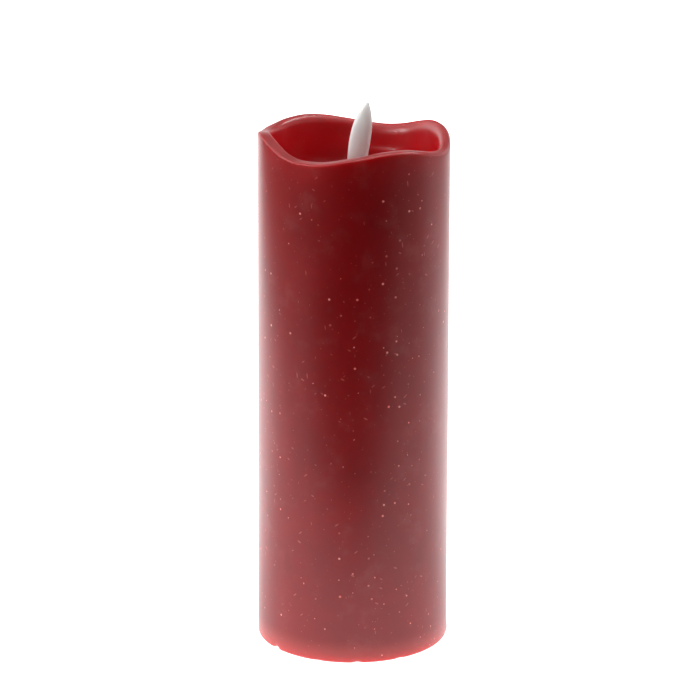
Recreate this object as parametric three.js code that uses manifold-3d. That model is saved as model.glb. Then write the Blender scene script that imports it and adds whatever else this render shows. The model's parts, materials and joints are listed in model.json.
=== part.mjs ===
// A flameless pillar candle: a real wax shell round a swinging, lit flame leaf.
//
// The wax shell is one casting: a tube with a wavy, melted-looking rim, and a pool floor under the rim.
// A flame module is clamped through the hole in that floor. Its leaf hangs on a bent wire, with a magnet at
// the foot of the stem, and a coil under the magnet keeps it swinging. A plastic base plugs the foot of the
// tube. It holds three AAA cells in series behind a hooked and latched door, and a three-position switch.
//
// Millimetres, +Z up, origin at the centre of the foot. The leaf's broad face looks along -Y.

import * as THREE from "three";
import { mergeVertices } from "three/addons/utils/BufferGeometryUtils.js";
import Module from "manifold-3d";

const wasm = await Module();
wasm.setup();

// ---- Driving dimensions -------------------------------------------------------------------------------

const GAP = 0.3; // clearance between neighbouring pieces
const FINE = 64; // sides of the large rounds
const MEDIUM = 32; // sides of the module's rounds
const COARSE = 16; // sides of bosses and small rounds
const SCREW = 12; // sides of screws and their holes

// Wax shell
const CANDLE_RADIUS = 37.5;
const BORE_RADIUS = 32;
const FOOT_CHAMFER = 0.8;
const POOL_Z = 183.5; // top of the pool floor
const POOL_THICKNESS = 4.7;
const POOL_HOLE_RADIUS = 13.9;
// Crests and dips of the rim: [degrees round from +X, height].
const RIM_WAVE = [
  [20, 207.3],
  [72, 200.7],
  [128, 205.4],
  [158, 205.0],
  [193, 208.3],
  [234, 203.6],
  [297, 208.7],
  [343, 203.5],
];

// Flame
const PIVOT_Z = 181.6;
const FLAME_LEAN = THREE.MathUtils.degToRad(8); // the leaf rests leaning towards +X
const LEAF_LENGTH = 38.2; // from the pivot to the tip
const LEAF_START = 2.2; // where the leaf grows out of the neck
const LEAF_BOW = 0.9; // sideways bow of the leaf's centre line
const LEAF_FLATNESS = 0.55; // depth over width
const NECK = { width: 4.4, depth: 1.2, hole: 1.1, bottom: -2.4 };
const STEM = { width: 4, depth: 2.4, bottom: -18.5 };
const MAGNET = { radius: 4, height: 2.6, plateRadius: 4.6, plate: 1, offset: 1.65 }; // offset holds the lean
const FLAME_WIRE = { radius: 0.3, halfLength: 5.7, sag: 1.3, sagFrom: 3.2 };

// Flame module
const MODULE_RADIUS = 18.5;
const MODULE_WALL = 1.3;
const MODULE_TOP = POOL_Z - POOL_THICKNESS - GAP;
const MODULE_FLOOR = 147.6;
const BOARD_Z = 148.6;
const BOARD_THICKNESS = 1.6;
const BOARD_RADIUS = 16.6;
const CAP_RADIUS = 16.5;
const CAP_BARREL_RADIUS = POOL_HOLE_RADIUS - 0.4;
const CAP_SCREW_RADIUS = 9.8;
const CAP_SCREW_ANGLES = [30, 150, 270];
const LED = { radius: 1.5, length: 5.6, tipY: 8.3, tipZ: 180.6, tilt: THREE.MathUtils.degToRad(20) };

// Base
const BASE_RADIUS = BORE_RADIUS - 0.4;
const BASE_WALL = 1.4;
const BASE_Z = 1.2; // the plastic stands this far inside the wax foot
const BASE_PLATE = 2;
const BASE_TOP = 19;
const COVER_THICKNESS = 1.6;
const CELL = { radius: 5.2, length: 44.5, nub: 1.9, nubLength: 0.9, pitch: 10.85, z: 9 };
const POCKET = { x: 24.9, y: 16.5, roof: 14.5, wall: 1.2 };
const DOOR = { x: 25.4, y: 16.9, thickness: 1.6, tabY: 9.4, tabHalfWidth: 2.6 };
const SWITCH_Y = -23.2;
const SWITCH_TRAVEL = 2;
const SWITCH_SCREWS_X = [-10.8, 10.8];
const COVER_SCREWS = [
  [16.5, 23.4],
  [-16.5, 23.4],
  [18.6, -21.4],
  [-18.6, -21.4],
];
const LEAD_RADIUS = 0.7;
const LEAD_HOLE = { x: 9, y: -9, radius: 2.6 }; // both leads pass the module's lid and the base's cover here

// ---- Materials ----------------------------------------------------------------------------------------

const finish = (color, roughness, metalness = 0) =>
  new THREE.MeshStandardMaterial({ color, roughness, metalness });
const RED_WAX = finish(0x8c1118, 0.35);
const RED_PLASTIC = finish(0x9a141b, 0.4);
const FLAME_PLASTIC = finish(0xe4e3de, 0.5);
const WHITE_PLASTIC = finish(0xe9e6dc, 0.45);
const BLACK_PLASTIC = finish(0x1b1b1c, 0.4);
const STEEL = finish(0xb9babd, 0.3, 1);
const COPPER = finish(0xb8622b, 0.35, 1);
const GREEN_BOARD = finish(0x1d5b34, 0.5);
const LED_LENS = finish(0xf2e7c4, 0.15);
const CELL_WRAP = finish(0x2f3237, 0.35);
const RED_LEAD = finish(0xb3181c, 0.5);
const BLACK_LEAD = finish(0x161616, 0.5);

// ---- Solids -------------------------------------------------------------------------------------------

// A closed three.js geometry as a manifold solid, facing outwards.
function solid(geometry) {
  const bare = geometry.clone();
  bare.deleteAttribute("normal");
  bare.deleteAttribute("uv");
  const merged = mergeVertices(bare, 1e-4);
  const vertProperties = new Float32Array(merged.attributes.position.array);
  const triVerts = new Uint32Array(merged.index.array);
  const made = new wasm.Manifold(new wasm.Mesh({ numProp: 3, vertProperties, triVerts }));
  if (made.volume() > 0) return made;
  for (let i = 0; i < triVerts.length; i += 3) {
    [triVerts[i + 1], triVerts[i + 2]] = [triVerts[i + 2], triVerts[i + 1]];
  }
  return new wasm.Manifold(new wasm.Mesh({ numProp: 3, vertProperties, triVerts }));
}

const join = (...solids) => solids.reduce((whole, next) => whole.add(next));
const cut = (whole, ...tools) => tools.reduce((left, tool) => left.subtract(tool), whole);

// A box between two corners.
function block(x0, x1, y0, y1, z0, z1) {
  const box = new THREE.BoxGeometry(x1 - x0, y1 - y0, z1 - z0);
  return solid(box.translate((x0 + x1) / 2, (y0 + y1) / 2, (z0 + z1) / 2));
}

// The same, for corners that may come in either order.
function span(xa, xb, ya, yb, z0, z1) {
  return block(Math.min(xa, xb), Math.max(xa, xb), Math.min(ya, yb), Math.max(ya, yb), z0, z1);
}

// An upright cylinder.
function rod(radius, z0, z1, x = 0, y = 0, sides = COARSE) {
  const cylinder = new THREE.CylinderGeometry(radius, radius, z1 - z0, sides);
  return solid(cylinder.rotateX(Math.PI / 2).translate(x, y, (z0 + z1) / 2));
}

// A solid of revolution about Z from [radius, height] points that start and end on the axis.
function turnedGeometry(outline, sides) {
  const points = outline.map(([radius, height]) => new THREE.Vector2(radius, height));
  return new THREE.LatheGeometry(points, sides).rotateX(Math.PI / 2);
}

const turned = (outline, sides = MEDIUM) => solid(turnedGeometry(outline, sides));

// A round cord along a smooth curve through the points.
function cordAlong(points, radius, sides, steps) {
  const section = new THREE.Shape();
  section.absarc(0, 0, radius, 0, 2 * Math.PI);
  const path = new THREE.CatmullRomCurve3(points.map(([x, y, z]) => new THREE.Vector3(x, y, z)));
  const options = { extrudePath: path, steps, curveSegments: sides / 2, bevelEnabled: false };
  return solid(new THREE.ExtrudeGeometry(section, options));
}

function meshOf(name, shape, material) {
  const made = shape.getMesh();
  const geometry = new THREE.BufferGeometry();
  geometry.setAttribute("position", new THREE.BufferAttribute(made.vertProperties, 3));
  geometry.setIndex(new THREE.BufferAttribute(made.triVerts, 1));
  const mesh = new THREE.Mesh(geometry, material);
  mesh.name = name;
  return mesh;
}

// A pan-head screw standing along +Z: the shank ends at z 0 and the head's underside is at shank.
function screwShape(shankRadius, shank, headRadius, headHeight) {
  const body = turned(
    [
      [0, 0],
      [shankRadius * 0.35, 0],
      [shankRadius, shankRadius * 1.4],
      [shankRadius, shank],
      [headRadius, shank],
      [headRadius, shank + headHeight * 0.55],
      [headRadius * 0.75, shank + headHeight],
      [0, shank + headHeight],
    ],
    SCREW,
  );
  const arm = headRadius * 0.55;
  const slot = headRadius * 0.13;
  const top = shank + headHeight;
  const depth = headHeight * 0.6;
  return cut(
    body,
    block(-arm, arm, -slot, slot, top - depth, top + 1),
    block(-slot, slot, -arm, arm, top - depth, top + 1),
  );
}

// ---- Wax shell ----------------------------------------------------------------------------------------

// Height of the rim at an angle: an eased run from each crest or dip to the next.
function rimHeight(degrees) {
  const count = RIM_WAVE.length;
  for (let i = 0; i < count; i++) {
    const [from, low] = RIM_WAVE[i];
    const [next, high] = RIM_WAVE[(i + 1) % count];
    const span = (next - from + 360) % 360;
    const along = (((degrees - from) % 360) + 360) % 360;
    if (along < span) return low + ((high - low) * (1 - Math.cos((Math.PI * along) / span))) / 2;
  }
  return RIM_WAVE[0][1];
}

// The shell's wall at one angle, as a closed [radius, height] outline.
function waxOutline(rim) {
  const outline = [
    [CANDLE_RADIUS - FOOT_CHAMFER, 0],
    [CANDLE_RADIUS, FOOT_CHAMFER],
  ];
  const outer = 1.8; // radius of the lip's outer corner
  const inner = { across: 3, down: 3.6 }; // the lip's inner corner, melted rounder
  const arcSteps = 3;
  for (let i = 0; i <= arcSteps; i++) {
    const a = (Math.PI / 2) * (i / arcSteps);
    outline.push([CANDLE_RADIUS - outer + outer * Math.cos(a), rim - outer + outer * Math.sin(a)]);
  }
  const middle = CANDLE_RADIUS - 2.4;
  for (let i = 0; i <= arcSteps; i++) {
    const a = (Math.PI / 2) * (1 + i / arcSteps);
    outline.push([middle + inner.across * Math.cos(a), rim - inner.down + inner.down * Math.sin(a)]);
  }
  outline.push(
    [31.5, POOL_Z + 7],
    [30.6, POOL_Z + 2.6],
    [28.4, POOL_Z + 0.6],
    [25, POOL_Z],
    [POOL_HOLE_RADIUS, POOL_Z],
    [POOL_HOLE_RADIUS, POOL_Z - POOL_THICKNESS],
    [BORE_RADIUS, POOL_Z - POOL_THICKNESS],
    [BORE_RADIUS, 0],
  );
  return outline;
}

function waxShell() {
  const positions = [];
  const index = [];
  let rows = 0;
  for (let i = 0; i < FINE; i++) {
    const angle = (2 * Math.PI * i) / FINE;
    const outline = waxOutline(rimHeight((360 * i) / FINE));
    rows = outline.length;
    for (const [r, z] of outline) positions.push(r * Math.cos(angle), r * Math.sin(angle), z);
  }
  for (let i = 0; i < FINE; i++) {
    const here = i * rows;
    const next = ((i + 1) % FINE) * rows;
    for (let j = 0; j < rows; j++) {
      const up = (j + 1) % rows;
      index.push(here + j, next + j, next + up, here + j, next + up, here + up);
    }
  }
  const geometry = new THREE.BufferGeometry();
  geometry.setAttribute("position", new THREE.Float32BufferAttribute(positions, 3));
  geometry.setIndex(index);
  return solid(geometry);
}

// ---- Flame, in its own frame: the pivot is the origin and the leaf stands along +Z ----------------------

// Half the leaf's width at a height above the pivot.
const LEAF_EDGE = new THREE.CatmullRomCurve3(
  [
    [LEAF_START, 2],
    [6, 2.85],
    [11, 3.6],
    [16, 4.05],
    [21, 4.25],
    [26, 4.1],
    [30, 3.6],
    [33, 2.75],
    [35.6, 1.7],
    [37.2, 0.85],
    [LEAF_LENGTH, 0.15],
  ].map(([height, half]) => new THREE.Vector3(half, 0, height)),
);

// The leaf: oval sections lofted along its length, closed at both ends.
function leaf() {
  const sections = 22;
  const sides = 20;
  const positions = [];
  const index = [];
  for (let i = 0; i <= sections; i++) {
    const { x: half, z } = LEAF_EDGE.getPoint(i / sections);
    const bow = -LEAF_BOW * Math.sin((Math.PI * z) / LEAF_LENGTH);
    for (let j = 0; j < sides; j++) {
      const a = (2 * Math.PI * j) / sides;
      positions.push(bow + half * Math.cos(a), half * LEAF_FLATNESS * Math.sin(a), z);
    }
  }
  for (let i = 0; i < sections; i++) {
    for (let j = 0; j < sides; j++) {
      const a = i * sides + j;
      const b = i * sides + ((j + 1) % sides);
      index.push(a, b, b + sides, a, b + sides, a + sides);
    }
  }
  const last = sections * sides;
  for (let j = 1; j < sides - 1; j++) {
    index.push(0, j + 1, j);
    index.push(last, last + j, last + j + 1);
  }
  const geometry = new THREE.BufferGeometry();
  geometry.setAttribute("position", new THREE.Float32BufferAttribute(positions, 3));
  geometry.setIndex(index);
  return solid(geometry);
}

// The leaf with its neck, the hole that the wire runs through, the stem and the magnet's plate.
function flame() {
  const neckTop = LEAF_START + 1;
  const neckHalf = NECK.width / 2;
  const neck = block(-neckHalf, neckHalf, -NECK.depth / 2, NECK.depth / 2, NECK.bottom, neckTop);
  const stemHalf = STEM.width / 2;
  const stem = block(-stemHalf, stemHalf, -STEM.depth / 2, STEM.depth / 2, STEM.bottom, NECK.bottom);
  const plate = rod(MAGNET.plateRadius, STEM.bottom - MAGNET.plate, STEM.bottom, MAGNET.offset, 0, 24);
  const holeZ = -FLAME_WIRE.sag + FLAME_WIRE.radius + GAP - NECK.hole; // its top edge hangs on the wire
  const bore = new THREE.CylinderGeometry(NECK.hole, NECK.hole, 4, COARSE).translate(0, 0, holeZ);
  return cut(join(leaf(), neck, stem, plate), solid(bore));
}

function flameMagnet() {
  const top = STEM.bottom - MAGNET.plate - GAP;
  return rod(MAGNET.radius, top - MAGNET.height, top, MAGNET.offset, 0, 24);
}

// The wire's ends lie in the posts on the swing axis, and its middle sags to carry the leaf.
function flameWire() {
  const { radius, halfLength, sag, sagFrom } = FLAME_WIRE;
  const points = [
    [0, -halfLength, 0],
    [0, -sagFrom - 0.6, 0],
    [0, -sagFrom + 0.6, -sag * 0.22],
    [0, -0.9, -sag * 0.84],
    [0, 0, -sag],
    [0, 0.9, -sag * 0.84],
    [0, sagFrom - 0.6, -sag * 0.22],
    [0, sagFrom + 0.6, 0],
    [0, halfLength, 0],
  ];
  return cordAlong(points, radius, 8, 24);
}

// ---- Flame module -------------------------------------------------------------------------------------

const capScrewSpots = CAP_SCREW_ANGLES.map((degrees) => {
  const a = THREE.MathUtils.degToRad(degrees);
  return [CAP_SCREW_RADIUS * Math.cos(a), CAP_SCREW_RADIUS * Math.sin(a)];
});

// Turns an upright geometry, made with its tip at the origin, onto the lamp's slanting axis.
function onLedAxis(geometry) {
  return geometry.rotateX(LED.tilt).translate(0, LED.tipY, LED.tipZ);
}

const slantedRod = (radius, low, high) =>
  solid(
    onLedAxis(
      new THREE.CylinderGeometry(radius, radius, high - low, COARSE)
        .rotateX(Math.PI / 2)
        .translate(0, 0, (low + high) / 2),
    ),
  );

// The red cap in the pool: a dished flange over the floor, and a barrel with screw bosses through it.
function poolCap() {
  const bottom = MODULE_TOP + GAP;
  const wall = 1.3;
  const shell = turned([
    [0, POOL_Z - 1],
    [CAP_BARREL_RADIUS - wall, POOL_Z - 1],
    [CAP_BARREL_RADIUS - wall, bottom],
    [CAP_BARREL_RADIUS, bottom],
    [CAP_BARREL_RADIUS, POOL_Z + GAP],
    [CAP_RADIUS, POOL_Z + GAP],
    [CAP_RADIUS, POOL_Z + 0.9],
    [CAP_RADIUS - 0.7, POOL_Z + 1.4],
    [CAP_RADIUS - 3, POOL_Z + 1.3],
    [8, POOL_Z + 0.7],
    [0, POOL_Z + 0.6],
  ]);
  const bosses = capScrewSpots.map(([x, y]) => rod(2.2, bottom, POOL_Z - 0.5, x, y));
  const pilots = capScrewSpots.map(([x, y]) => rod(1.15, bottom - 1, bottom + 3.6, x, y, SCREW));
  const slotHalf = 3.2;
  const slotWidth = 2.6;
  const flameSlot = join(
    block(-slotHalf, slotHalf, -slotWidth, slotWidth, POOL_Z - 2, POOL_Z + 2),
    rod(slotWidth, POOL_Z - 2, POOL_Z + 2, slotHalf),
    rod(slotWidth, POOL_Z - 2, POOL_Z + 2, -slotHalf),
  );
  return cut(join(shell, ...bosses), ...pilots, flameSlot, slantedRod(LED.radius + 0.7, -1, 6));
}

// The white cup below the floor: wire posts and the lamp's sleeve stand on its top plate.
function moduleBody() {
  const inner = MODULE_RADIUS - MODULE_WALL;
  const plate = MODULE_TOP - MODULE_WALL;
  const cup = cut(
    rod(MODULE_RADIUS, MODULE_FLOOR, MODULE_TOP, 0, 0, MEDIUM),
    rod(inner, MODULE_FLOOR - 1, plate, 0, 0, MEDIUM),
  );
  const postIn = FLAME_WIRE.halfLength - 1.4;
  const wireEnd = FLAME_WIRE.halfLength + GAP;
  const postTop = PIVOT_Z + 0.2;
  const notch = FLAME_WIRE.radius + GAP;
  const posts = [1, -1].map((side) =>
    cut(
      span(-1.8, 1.8, side * postIn, side * (wireEnd + 0.6), plate, postTop),
      block(-notch, notch, -wireEnd, wireEnd, PIVOT_Z - notch, postTop + 1),
    ),
  );
  const sleeve = cut(slantedRod(LED.radius + 1.2, -4, -0.8), rod(9, MODULE_TOP - 9, MODULE_TOP - 1, 0, 10));
  const lampBore = slantedRod(LED.radius + GAP, -9, 2);
  const stemHole = block(-5, 5, -3.2, 3.2, plate - 1, MODULE_TOP + 1);
  const screwHoles = capScrewSpots.map(([x, y]) => rod(1.3, plate - 1, MODULE_TOP + 1, x, y, SCREW));
  return cut(join(cut(cup, stemHole), ...posts, sleeve), lampBore, ...screwHoles);
}

// The module's snap-in lid, which the driver board stands on.
function moduleLid() {
  const fit = MODULE_RADIUS - MODULE_WALL - GAP;
  const top = BOARD_Z - GAP;
  const disc = turned([
    [0, MODULE_FLOOR - 1.7],
    [MODULE_RADIUS - 0.5, MODULE_FLOOR - 1.7],
    [MODULE_RADIUS, MODULE_FLOOR - 1.2],
    [MODULE_RADIUS, MODULE_FLOOR - GAP],
    [fit, MODULE_FLOOR - GAP],
    [fit, top],
    [fit - 1.2, top],
    [fit - 1.2, MODULE_FLOOR - 0.5],
    [0, MODULE_FLOOR - 0.5],
  ]);
  return cut(disc, rod(LEAD_HOLE.radius, MODULE_FLOOR - 3, MODULE_FLOOR + 2, LEAD_HOLE.x, LEAD_HOLE.y));
}

// The lamp, made upright with its tip at the origin, then slanted.
function led() {
  const { radius, length } = LED;
  const dome = [];
  for (let i = 0; i <= 4; i++) {
    const a = (Math.PI / 2) * (i / 4);
    dome.push([radius * Math.cos(a), -radius + radius * Math.sin(a)]);
  }
  const outline = [[0, -length], [1.9, -length], [1.9, -length + 1], [radius, -length + 1], ...dome];
  return solid(onLedAxis(turnedGeometry(outline, COARSE)));
}

// A lamp leg: straight out of the lamp, then down to the board.
function ledLeg(x) {
  const along = (distance) => [
    x,
    LED.tipY + distance * Math.sin(LED.tilt),
    LED.tipZ - distance * Math.cos(LED.tilt),
  ];
  const foot = BOARD_Z + BOARD_THICKNESS + GAP;
  const y = 11.6;
  const points = [along(LED.length + GAP), along(LED.length + 2.6), [x, y, 171], [x, y, 162], [x, y, foot]];
  return cordAlong(points, 0.28, 6, 14);
}

const boardTop = BOARD_Z + BOARD_THICKNESS;
const COIL = {
  z0: boardTop + GAP,
  z1: boardTop + 7.2,
  flange: 7.5,
  core: 2.6,
  bore: 1.5,
  flangeThickness: 0.8,
};

function coilBobbin() {
  const { z0, z1, flange, core, bore, flangeThickness } = COIL;
  const lower = rod(flange, z0, z0 + flangeThickness, 0, 0, 24);
  const upper = rod(flange, z1 - flangeThickness, z1, 0, 0, 24);
  return cut(join(lower, upper, rod(core, z0, z1)), rod(bore, z0 - 1, z1 + 1));
}

function coilWinding() {
  const { z0, z1, flange, core, flangeThickness } = COIL;
  const low = z0 + flangeThickness + GAP;
  const high = z1 - flangeThickness - GAP;
  return cut(rod(flange - 0.6, low, high, 0, 0, 24), rod(core + GAP, low - 1, high + 1, 0, 0, 24));
}

const driverBoard = () => rod(BOARD_RADIUS, BOARD_Z, boardTop, 0, 0, MEDIUM);

// A surface-mount piece lying on the driver board.
const onBoard = (x, y, length, width, height) =>
  block(
    x - length / 2,
    x + length / 2,
    y - width / 2,
    y + width / 2,
    boardTop + GAP,
    boardTop + GAP + height,
  );

function capacitor() {
  const z = boardTop + GAP;
  const can = turned(
    [
      [0, z],
      [2.5, z],
      [2.5, z + 0.9],
      [2.3, z + 1.2],
      [2.5, z + 1.5],
      [2.5, z + 5.7],
      [2.1, z + 6],
      [0, z + 6],
    ],
    COARSE,
  );
  return can.translate([11, -5, 0]);
}

// ---- Base ---------------------------------------------------------------------------------------------

const plateTop = BASE_Z + BASE_PLATE;
const contactX = POCKET.x - GAP; // back face of the contact plates
const CONTACT = { thickness: 0.4, half: 4.1, low: 5, high: 13.9 };

// The base's cup with the cell pocket, the door's recess and slots, the switch's slot and the screw bosses.
function baseHousing() {
  const cup = cut(
    rod(BASE_RADIUS, BASE_Z, BASE_TOP, 0, 0, FINE),
    rod(BASE_RADIUS - BASE_WALL, plateTop, BASE_TOP + 1, 0, 0, FINE),
  );
  const outX = POCKET.x + POCKET.wall;
  const outY = POCKET.y + POCKET.wall;
  const roofTop = POCKET.roof + POCKET.wall;
  const box = block(-outX, outX, -outY, outY, plateTop - 0.5, roofTop)
    .intersect(rod(BASE_RADIUS - 0.2, BASE_Z, BASE_TOP, 0, 0, FINE));
  const coverBosses = COVER_SCREWS.map(([x, y]) => rod(2.2, plateTop - 0.5, BASE_TOP - GAP, x, y));
  const switchBosses = SWITCH_SCREWS_X.map((x) => rod(1.9, plateTop - 0.5, 10.6, x, SWITCH_Y));
  const body = join(cup, box, ...coverBosses, ...switchBosses);

  const pocket = block(-POCKET.x, POCKET.x, -POCKET.y, POCKET.y, BASE_Z + 1, POCKET.roof);
  const doorX = DOOR.x + GAP;
  const doorY = DOOR.y + GAP;
  const recess = block(-doorX, doorX, -doorY, doorY, BASE_Z - 1, BASE_Z + DOOR.thickness + GAP);
  const tabSlots = [-DOOR.tabY, DOOR.tabY].map((y) =>
    block(-27.9, -POCKET.x + 1, y - DOOR.tabHalfWidth - GAP, y + DOOR.tabHalfWidth + GAP, 2, 4.7),
  );
  const latchOpening = block(doorX - 1, 29.9, -5.6, 5.6, BASE_Z - 1, plateTop + 1)
    .intersect(rod(BASE_RADIUS - BASE_WALL - 0.05, 0, 9, 0, 0, FINE));
  const switchSlot = block(-4.6, 4.6, SWITCH_Y - 1.9, SWITCH_Y + 1.9, BASE_Z - 1, plateTop + 1);
  const thumbDish = block(-7, 7, SWITCH_Y - 3.4, SWITCH_Y + 3.4, BASE_Z - 1, BASE_Z + 0.8);
  const coverPilots = COVER_SCREWS.map(([x, y]) => rod(1.2, 11, BASE_TOP + 1, x, y, SCREW));
  const switchPilots = SWITCH_SCREWS_X.map((x) => rod(1.1, 5, 12, x, SWITCH_Y, SCREW));
  const tabExits = [
    [-1, CELL.pitch],
    [1, -CELL.pitch],
  ].map(([side, y]) => {
    return span(side * (contactX - 1), side * POCKET.x, y - 1.6, y + 1.6, POCKET.roof - 1, roofTop + 1);
  });
  return cut(
    body,
    pocket,
    recess,
    ...tabSlots,
    latchOpening,
    switchSlot,
    thumbDish,
    ...coverPilots,
    ...switchPilots,
    ...tabExits,
  );
}

function baseCover() {
  const low = BASE_TOP + GAP;
  const disc = rod(BASE_RADIUS, low, low + COVER_THICKNESS, 0, 0, FINE);
  const holes = COVER_SCREWS.map(([x, y]) => rod(1.3, low - 1, low + 3, x, y, SCREW));
  return cut(disc, ...holes, rod(LEAD_HOLE.radius, low - 1, low + 3, LEAD_HOLE.x, LEAD_HOLE.y));
}

// The door: a flat plate with two hooks at -X, a U-shaped latch at +X and stiffening ribs inside.
function batteryDoor() {
  const low = BASE_Z;
  const high = BASE_Z + DOOR.thickness;
  const bevel = 0.8;
  const side = new THREE.Shape();
  side.moveTo(-DOOR.x + bevel, low);
  side.lineTo(DOOR.x, low);
  side.lineTo(DOOR.x, high);
  side.lineTo(-DOOR.x, high);
  side.lineTo(-DOOR.x, low + bevel);
  const plate = new THREE.ExtrudeGeometry(side, { depth: 2 * DOOR.y, bevelEnabled: false });
  plate.rotateX(Math.PI / 2).translate(0, DOOR.y, 0);
  const hooks = [-DOOR.tabY, DOOR.tabY].map((y) =>
    block(-27.3, -24.4, y - DOOR.tabHalfWidth, y + DOOR.tabHalfWidth, 2.3, 3.1),
  );
  const latchHalf = 4.6;
  const inside = 26.4;
  const outside = 29.2;
  const leg = 0.8;
  const crown = 8;
  const latch = new THREE.Shape();
  latch.moveTo(DOOR.x - 1, low);
  latch.lineTo(inside + leg, low);
  latch.lineTo(inside + leg, crown - leg);
  latch.lineTo(outside - leg, crown - leg);
  latch.lineTo(outside - leg, 2.4);
  latch.lineTo(outside - 1.6, low + 0.2);
  latch.lineTo(outside, low + 0.2);
  latch.lineTo(outside, 3.8);
  latch.lineTo(outside + 0.35, 4.2);
  latch.lineTo(outside, 5.2);
  latch.lineTo(outside, crown - 0.6);
  latch.lineTo(outside - 0.6, crown);
  latch.lineTo(inside + 0.6, crown);
  latch.lineTo(inside, crown - 0.6);
  latch.lineTo(inside, high);
  latch.lineTo(DOOR.x - 1, high);
  const latchBody = new THREE.ExtrudeGeometry(latch, { depth: 2 * latchHalf, bevelEnabled: false });
  latchBody.rotateX(Math.PI / 2).translate(0, latchHalf, 0);
  const ribs = [-CELL.pitch / 2, CELL.pitch / 2].map((y) =>
    block(-20, 20, y - 0.5, y + 0.5, high - 0.1, high + 1.6),
  );
  return join(solid(plate), ...hooks, solid(latchBody), ...ribs);
}

// A cell lying along X. side is the end its nub points to.
function cell(side, y) {
  const { radius, length, nub, nubLength } = CELL;
  const nubEnd = contactX - CONTACT.thickness - 0.5 - GAP;
  const outline = [
    [0, nubEnd - length],
    [radius - 0.9, nubEnd - length],
    [radius - 0.7, nubEnd - length + 0.3],
    [radius - 0.3, nubEnd - length + 0.1],
    [radius, nubEnd - length + 0.5],
    [radius, nubEnd - nubLength - 0.7],
    [radius - 0.4, nubEnd - nubLength - 0.3],
    [nub + 0.9, nubEnd - nubLength - 0.5],
    [nub, nubEnd - nubLength - 0.4],
    [nub, nubEnd - 0.3],
    [nub - 0.3, nubEnd],
    [0, nubEnd],
  ];
  const geometry = turnedGeometry(outline, 20).rotateY((side * Math.PI) / 2);
  return solid(geometry.translate(0, y, CELL.z));
}

// A contact plate at one end of the pocket, from y0 to y1, with a button for each cell nub that it meets.
function contactPlate(side, y0, y1, buttonY, tabY) {
  const back = side * contactX;
  const face = side * (contactX - CONTACT.thickness);
  const plate = span(back, face, y0, y1, CONTACT.low, CONTACT.high);
  const pieces = [];
  if (buttonY !== null) {
    const button = new THREE.CylinderGeometry(1.2, 1.9, 0.5, COARSE);
    button.rotateZ((side * Math.PI) / 2).translate(face - side * 0.25, buttonY, CELL.z);
    pieces.push(solid(button));
  }
  if (tabY !== null) {
    pieces.push(span(back, face, tabY - 1.2, tabY + 1.2, CONTACT.high - 0.1, 17.2));
  }
  return join(plate, ...pieces);
}

// The conical spring that pushes on a cell's flat end.
function contactSpring(side, y) {
  const wire = 0.28;
  const start = contactX - CONTACT.thickness - GAP - wire;
  const end = CELL.length - (contactX - CONTACT.thickness - 0.5 - GAP) + GAP + wire;
  const turns = 2.5;
  const stepsPerTurn = 10;
  const points = [];
  for (let i = 0; i <= turns * stepsPerTurn; i++) {
    const t = i / (turns * stepsPerTurn);
    const a = 2 * Math.PI * turns * t;
    const r = 3.6 - 1.5 * t;
    points.push([side * (start + (end - start) * t), y + r * Math.cos(a), CELL.z + r * Math.sin(a)]);
  }
  return cordAlong(points, wire, 6, turns * stepsPerTurn);
}

// ---- Switch -------------------------------------------------------------------------------------------

function switchKnob() {
  const button = block(-2.2, 2.2, SWITCH_Y - 1.6, SWITCH_Y + 1.6, BASE_Z + 0.1, 3.6);
  const flange = block(-6.6, 6.6, SWITCH_Y - 3, SWITCH_Y + 3, 3.5, 4.5);
  const socket = block(-0.95, 0.95, SWITCH_Y - 0.95, SWITCH_Y + 0.95, 3.3, 5);
  const grooves = [-1.1, 0, 1.1].map((x) =>
    block(x - 0.2, x + 0.2, SWITCH_Y - 2, SWITCH_Y + 2, BASE_Z - 1, BASE_Z + 0.45),
  );
  return cut(join(button, flange), socket, ...grooves);
}

const CAN = { x: 4.4, y: 2.2, low: 7, high: 10.6, wall: 0.5 };

function switchSlider() {
  return join(
    block(-0.65, 0.65, SWITCH_Y - 0.65, SWITCH_Y + 0.65, 3.6, 8),
    block(-1.2, 1.2, SWITCH_Y - 1.2, SWITCH_Y + 1.2, CAN.low + CAN.wall + GAP, 9.4),
  );
}

function switchCan() {
  const { x, y, low, high, wall } = CAN;
  const shell = block(-x, x, SWITCH_Y - y, SWITCH_Y + y, low, high);
  const inX = x - wall;
  const inY = y - wall;
  const cavity = block(-inX, inX, SWITCH_Y - inY, SWITCH_Y + inY, low + wall, high - wall);
  const travelSlot = block(-2.95, 2.95, SWITCH_Y - 0.95, SWITCH_Y + 0.95, low - 1, low + 1);
  const pins = [-2.5, 0, 2.5].map((px) => rod(0.35, high - 0.2, 13, px, SWITCH_Y, 8));
  return cut(join(shell, ...pins), cavity, travelSlot);
}

function switchBoard() {
  const low = 10.9;
  const board = block(-12.6, 12.6, SWITCH_Y - 3.3, SWITCH_Y + 3.3, low, low + 1.2);
  const pinHoles = [-2.5, 0, 2.5].map((px) => rod(0.65, low - 1, low + 2, px, SWITCH_Y, 8));
  const screwHoles = SWITCH_SCREWS_X.map((x) => rod(1.1, low - 1, low + 2, x, SWITCH_Y, SCREW));
  return cut(board, ...pinHoles, ...screwHoles);
}

// ---- Leads --------------------------------------------------------------------------------------------

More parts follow.
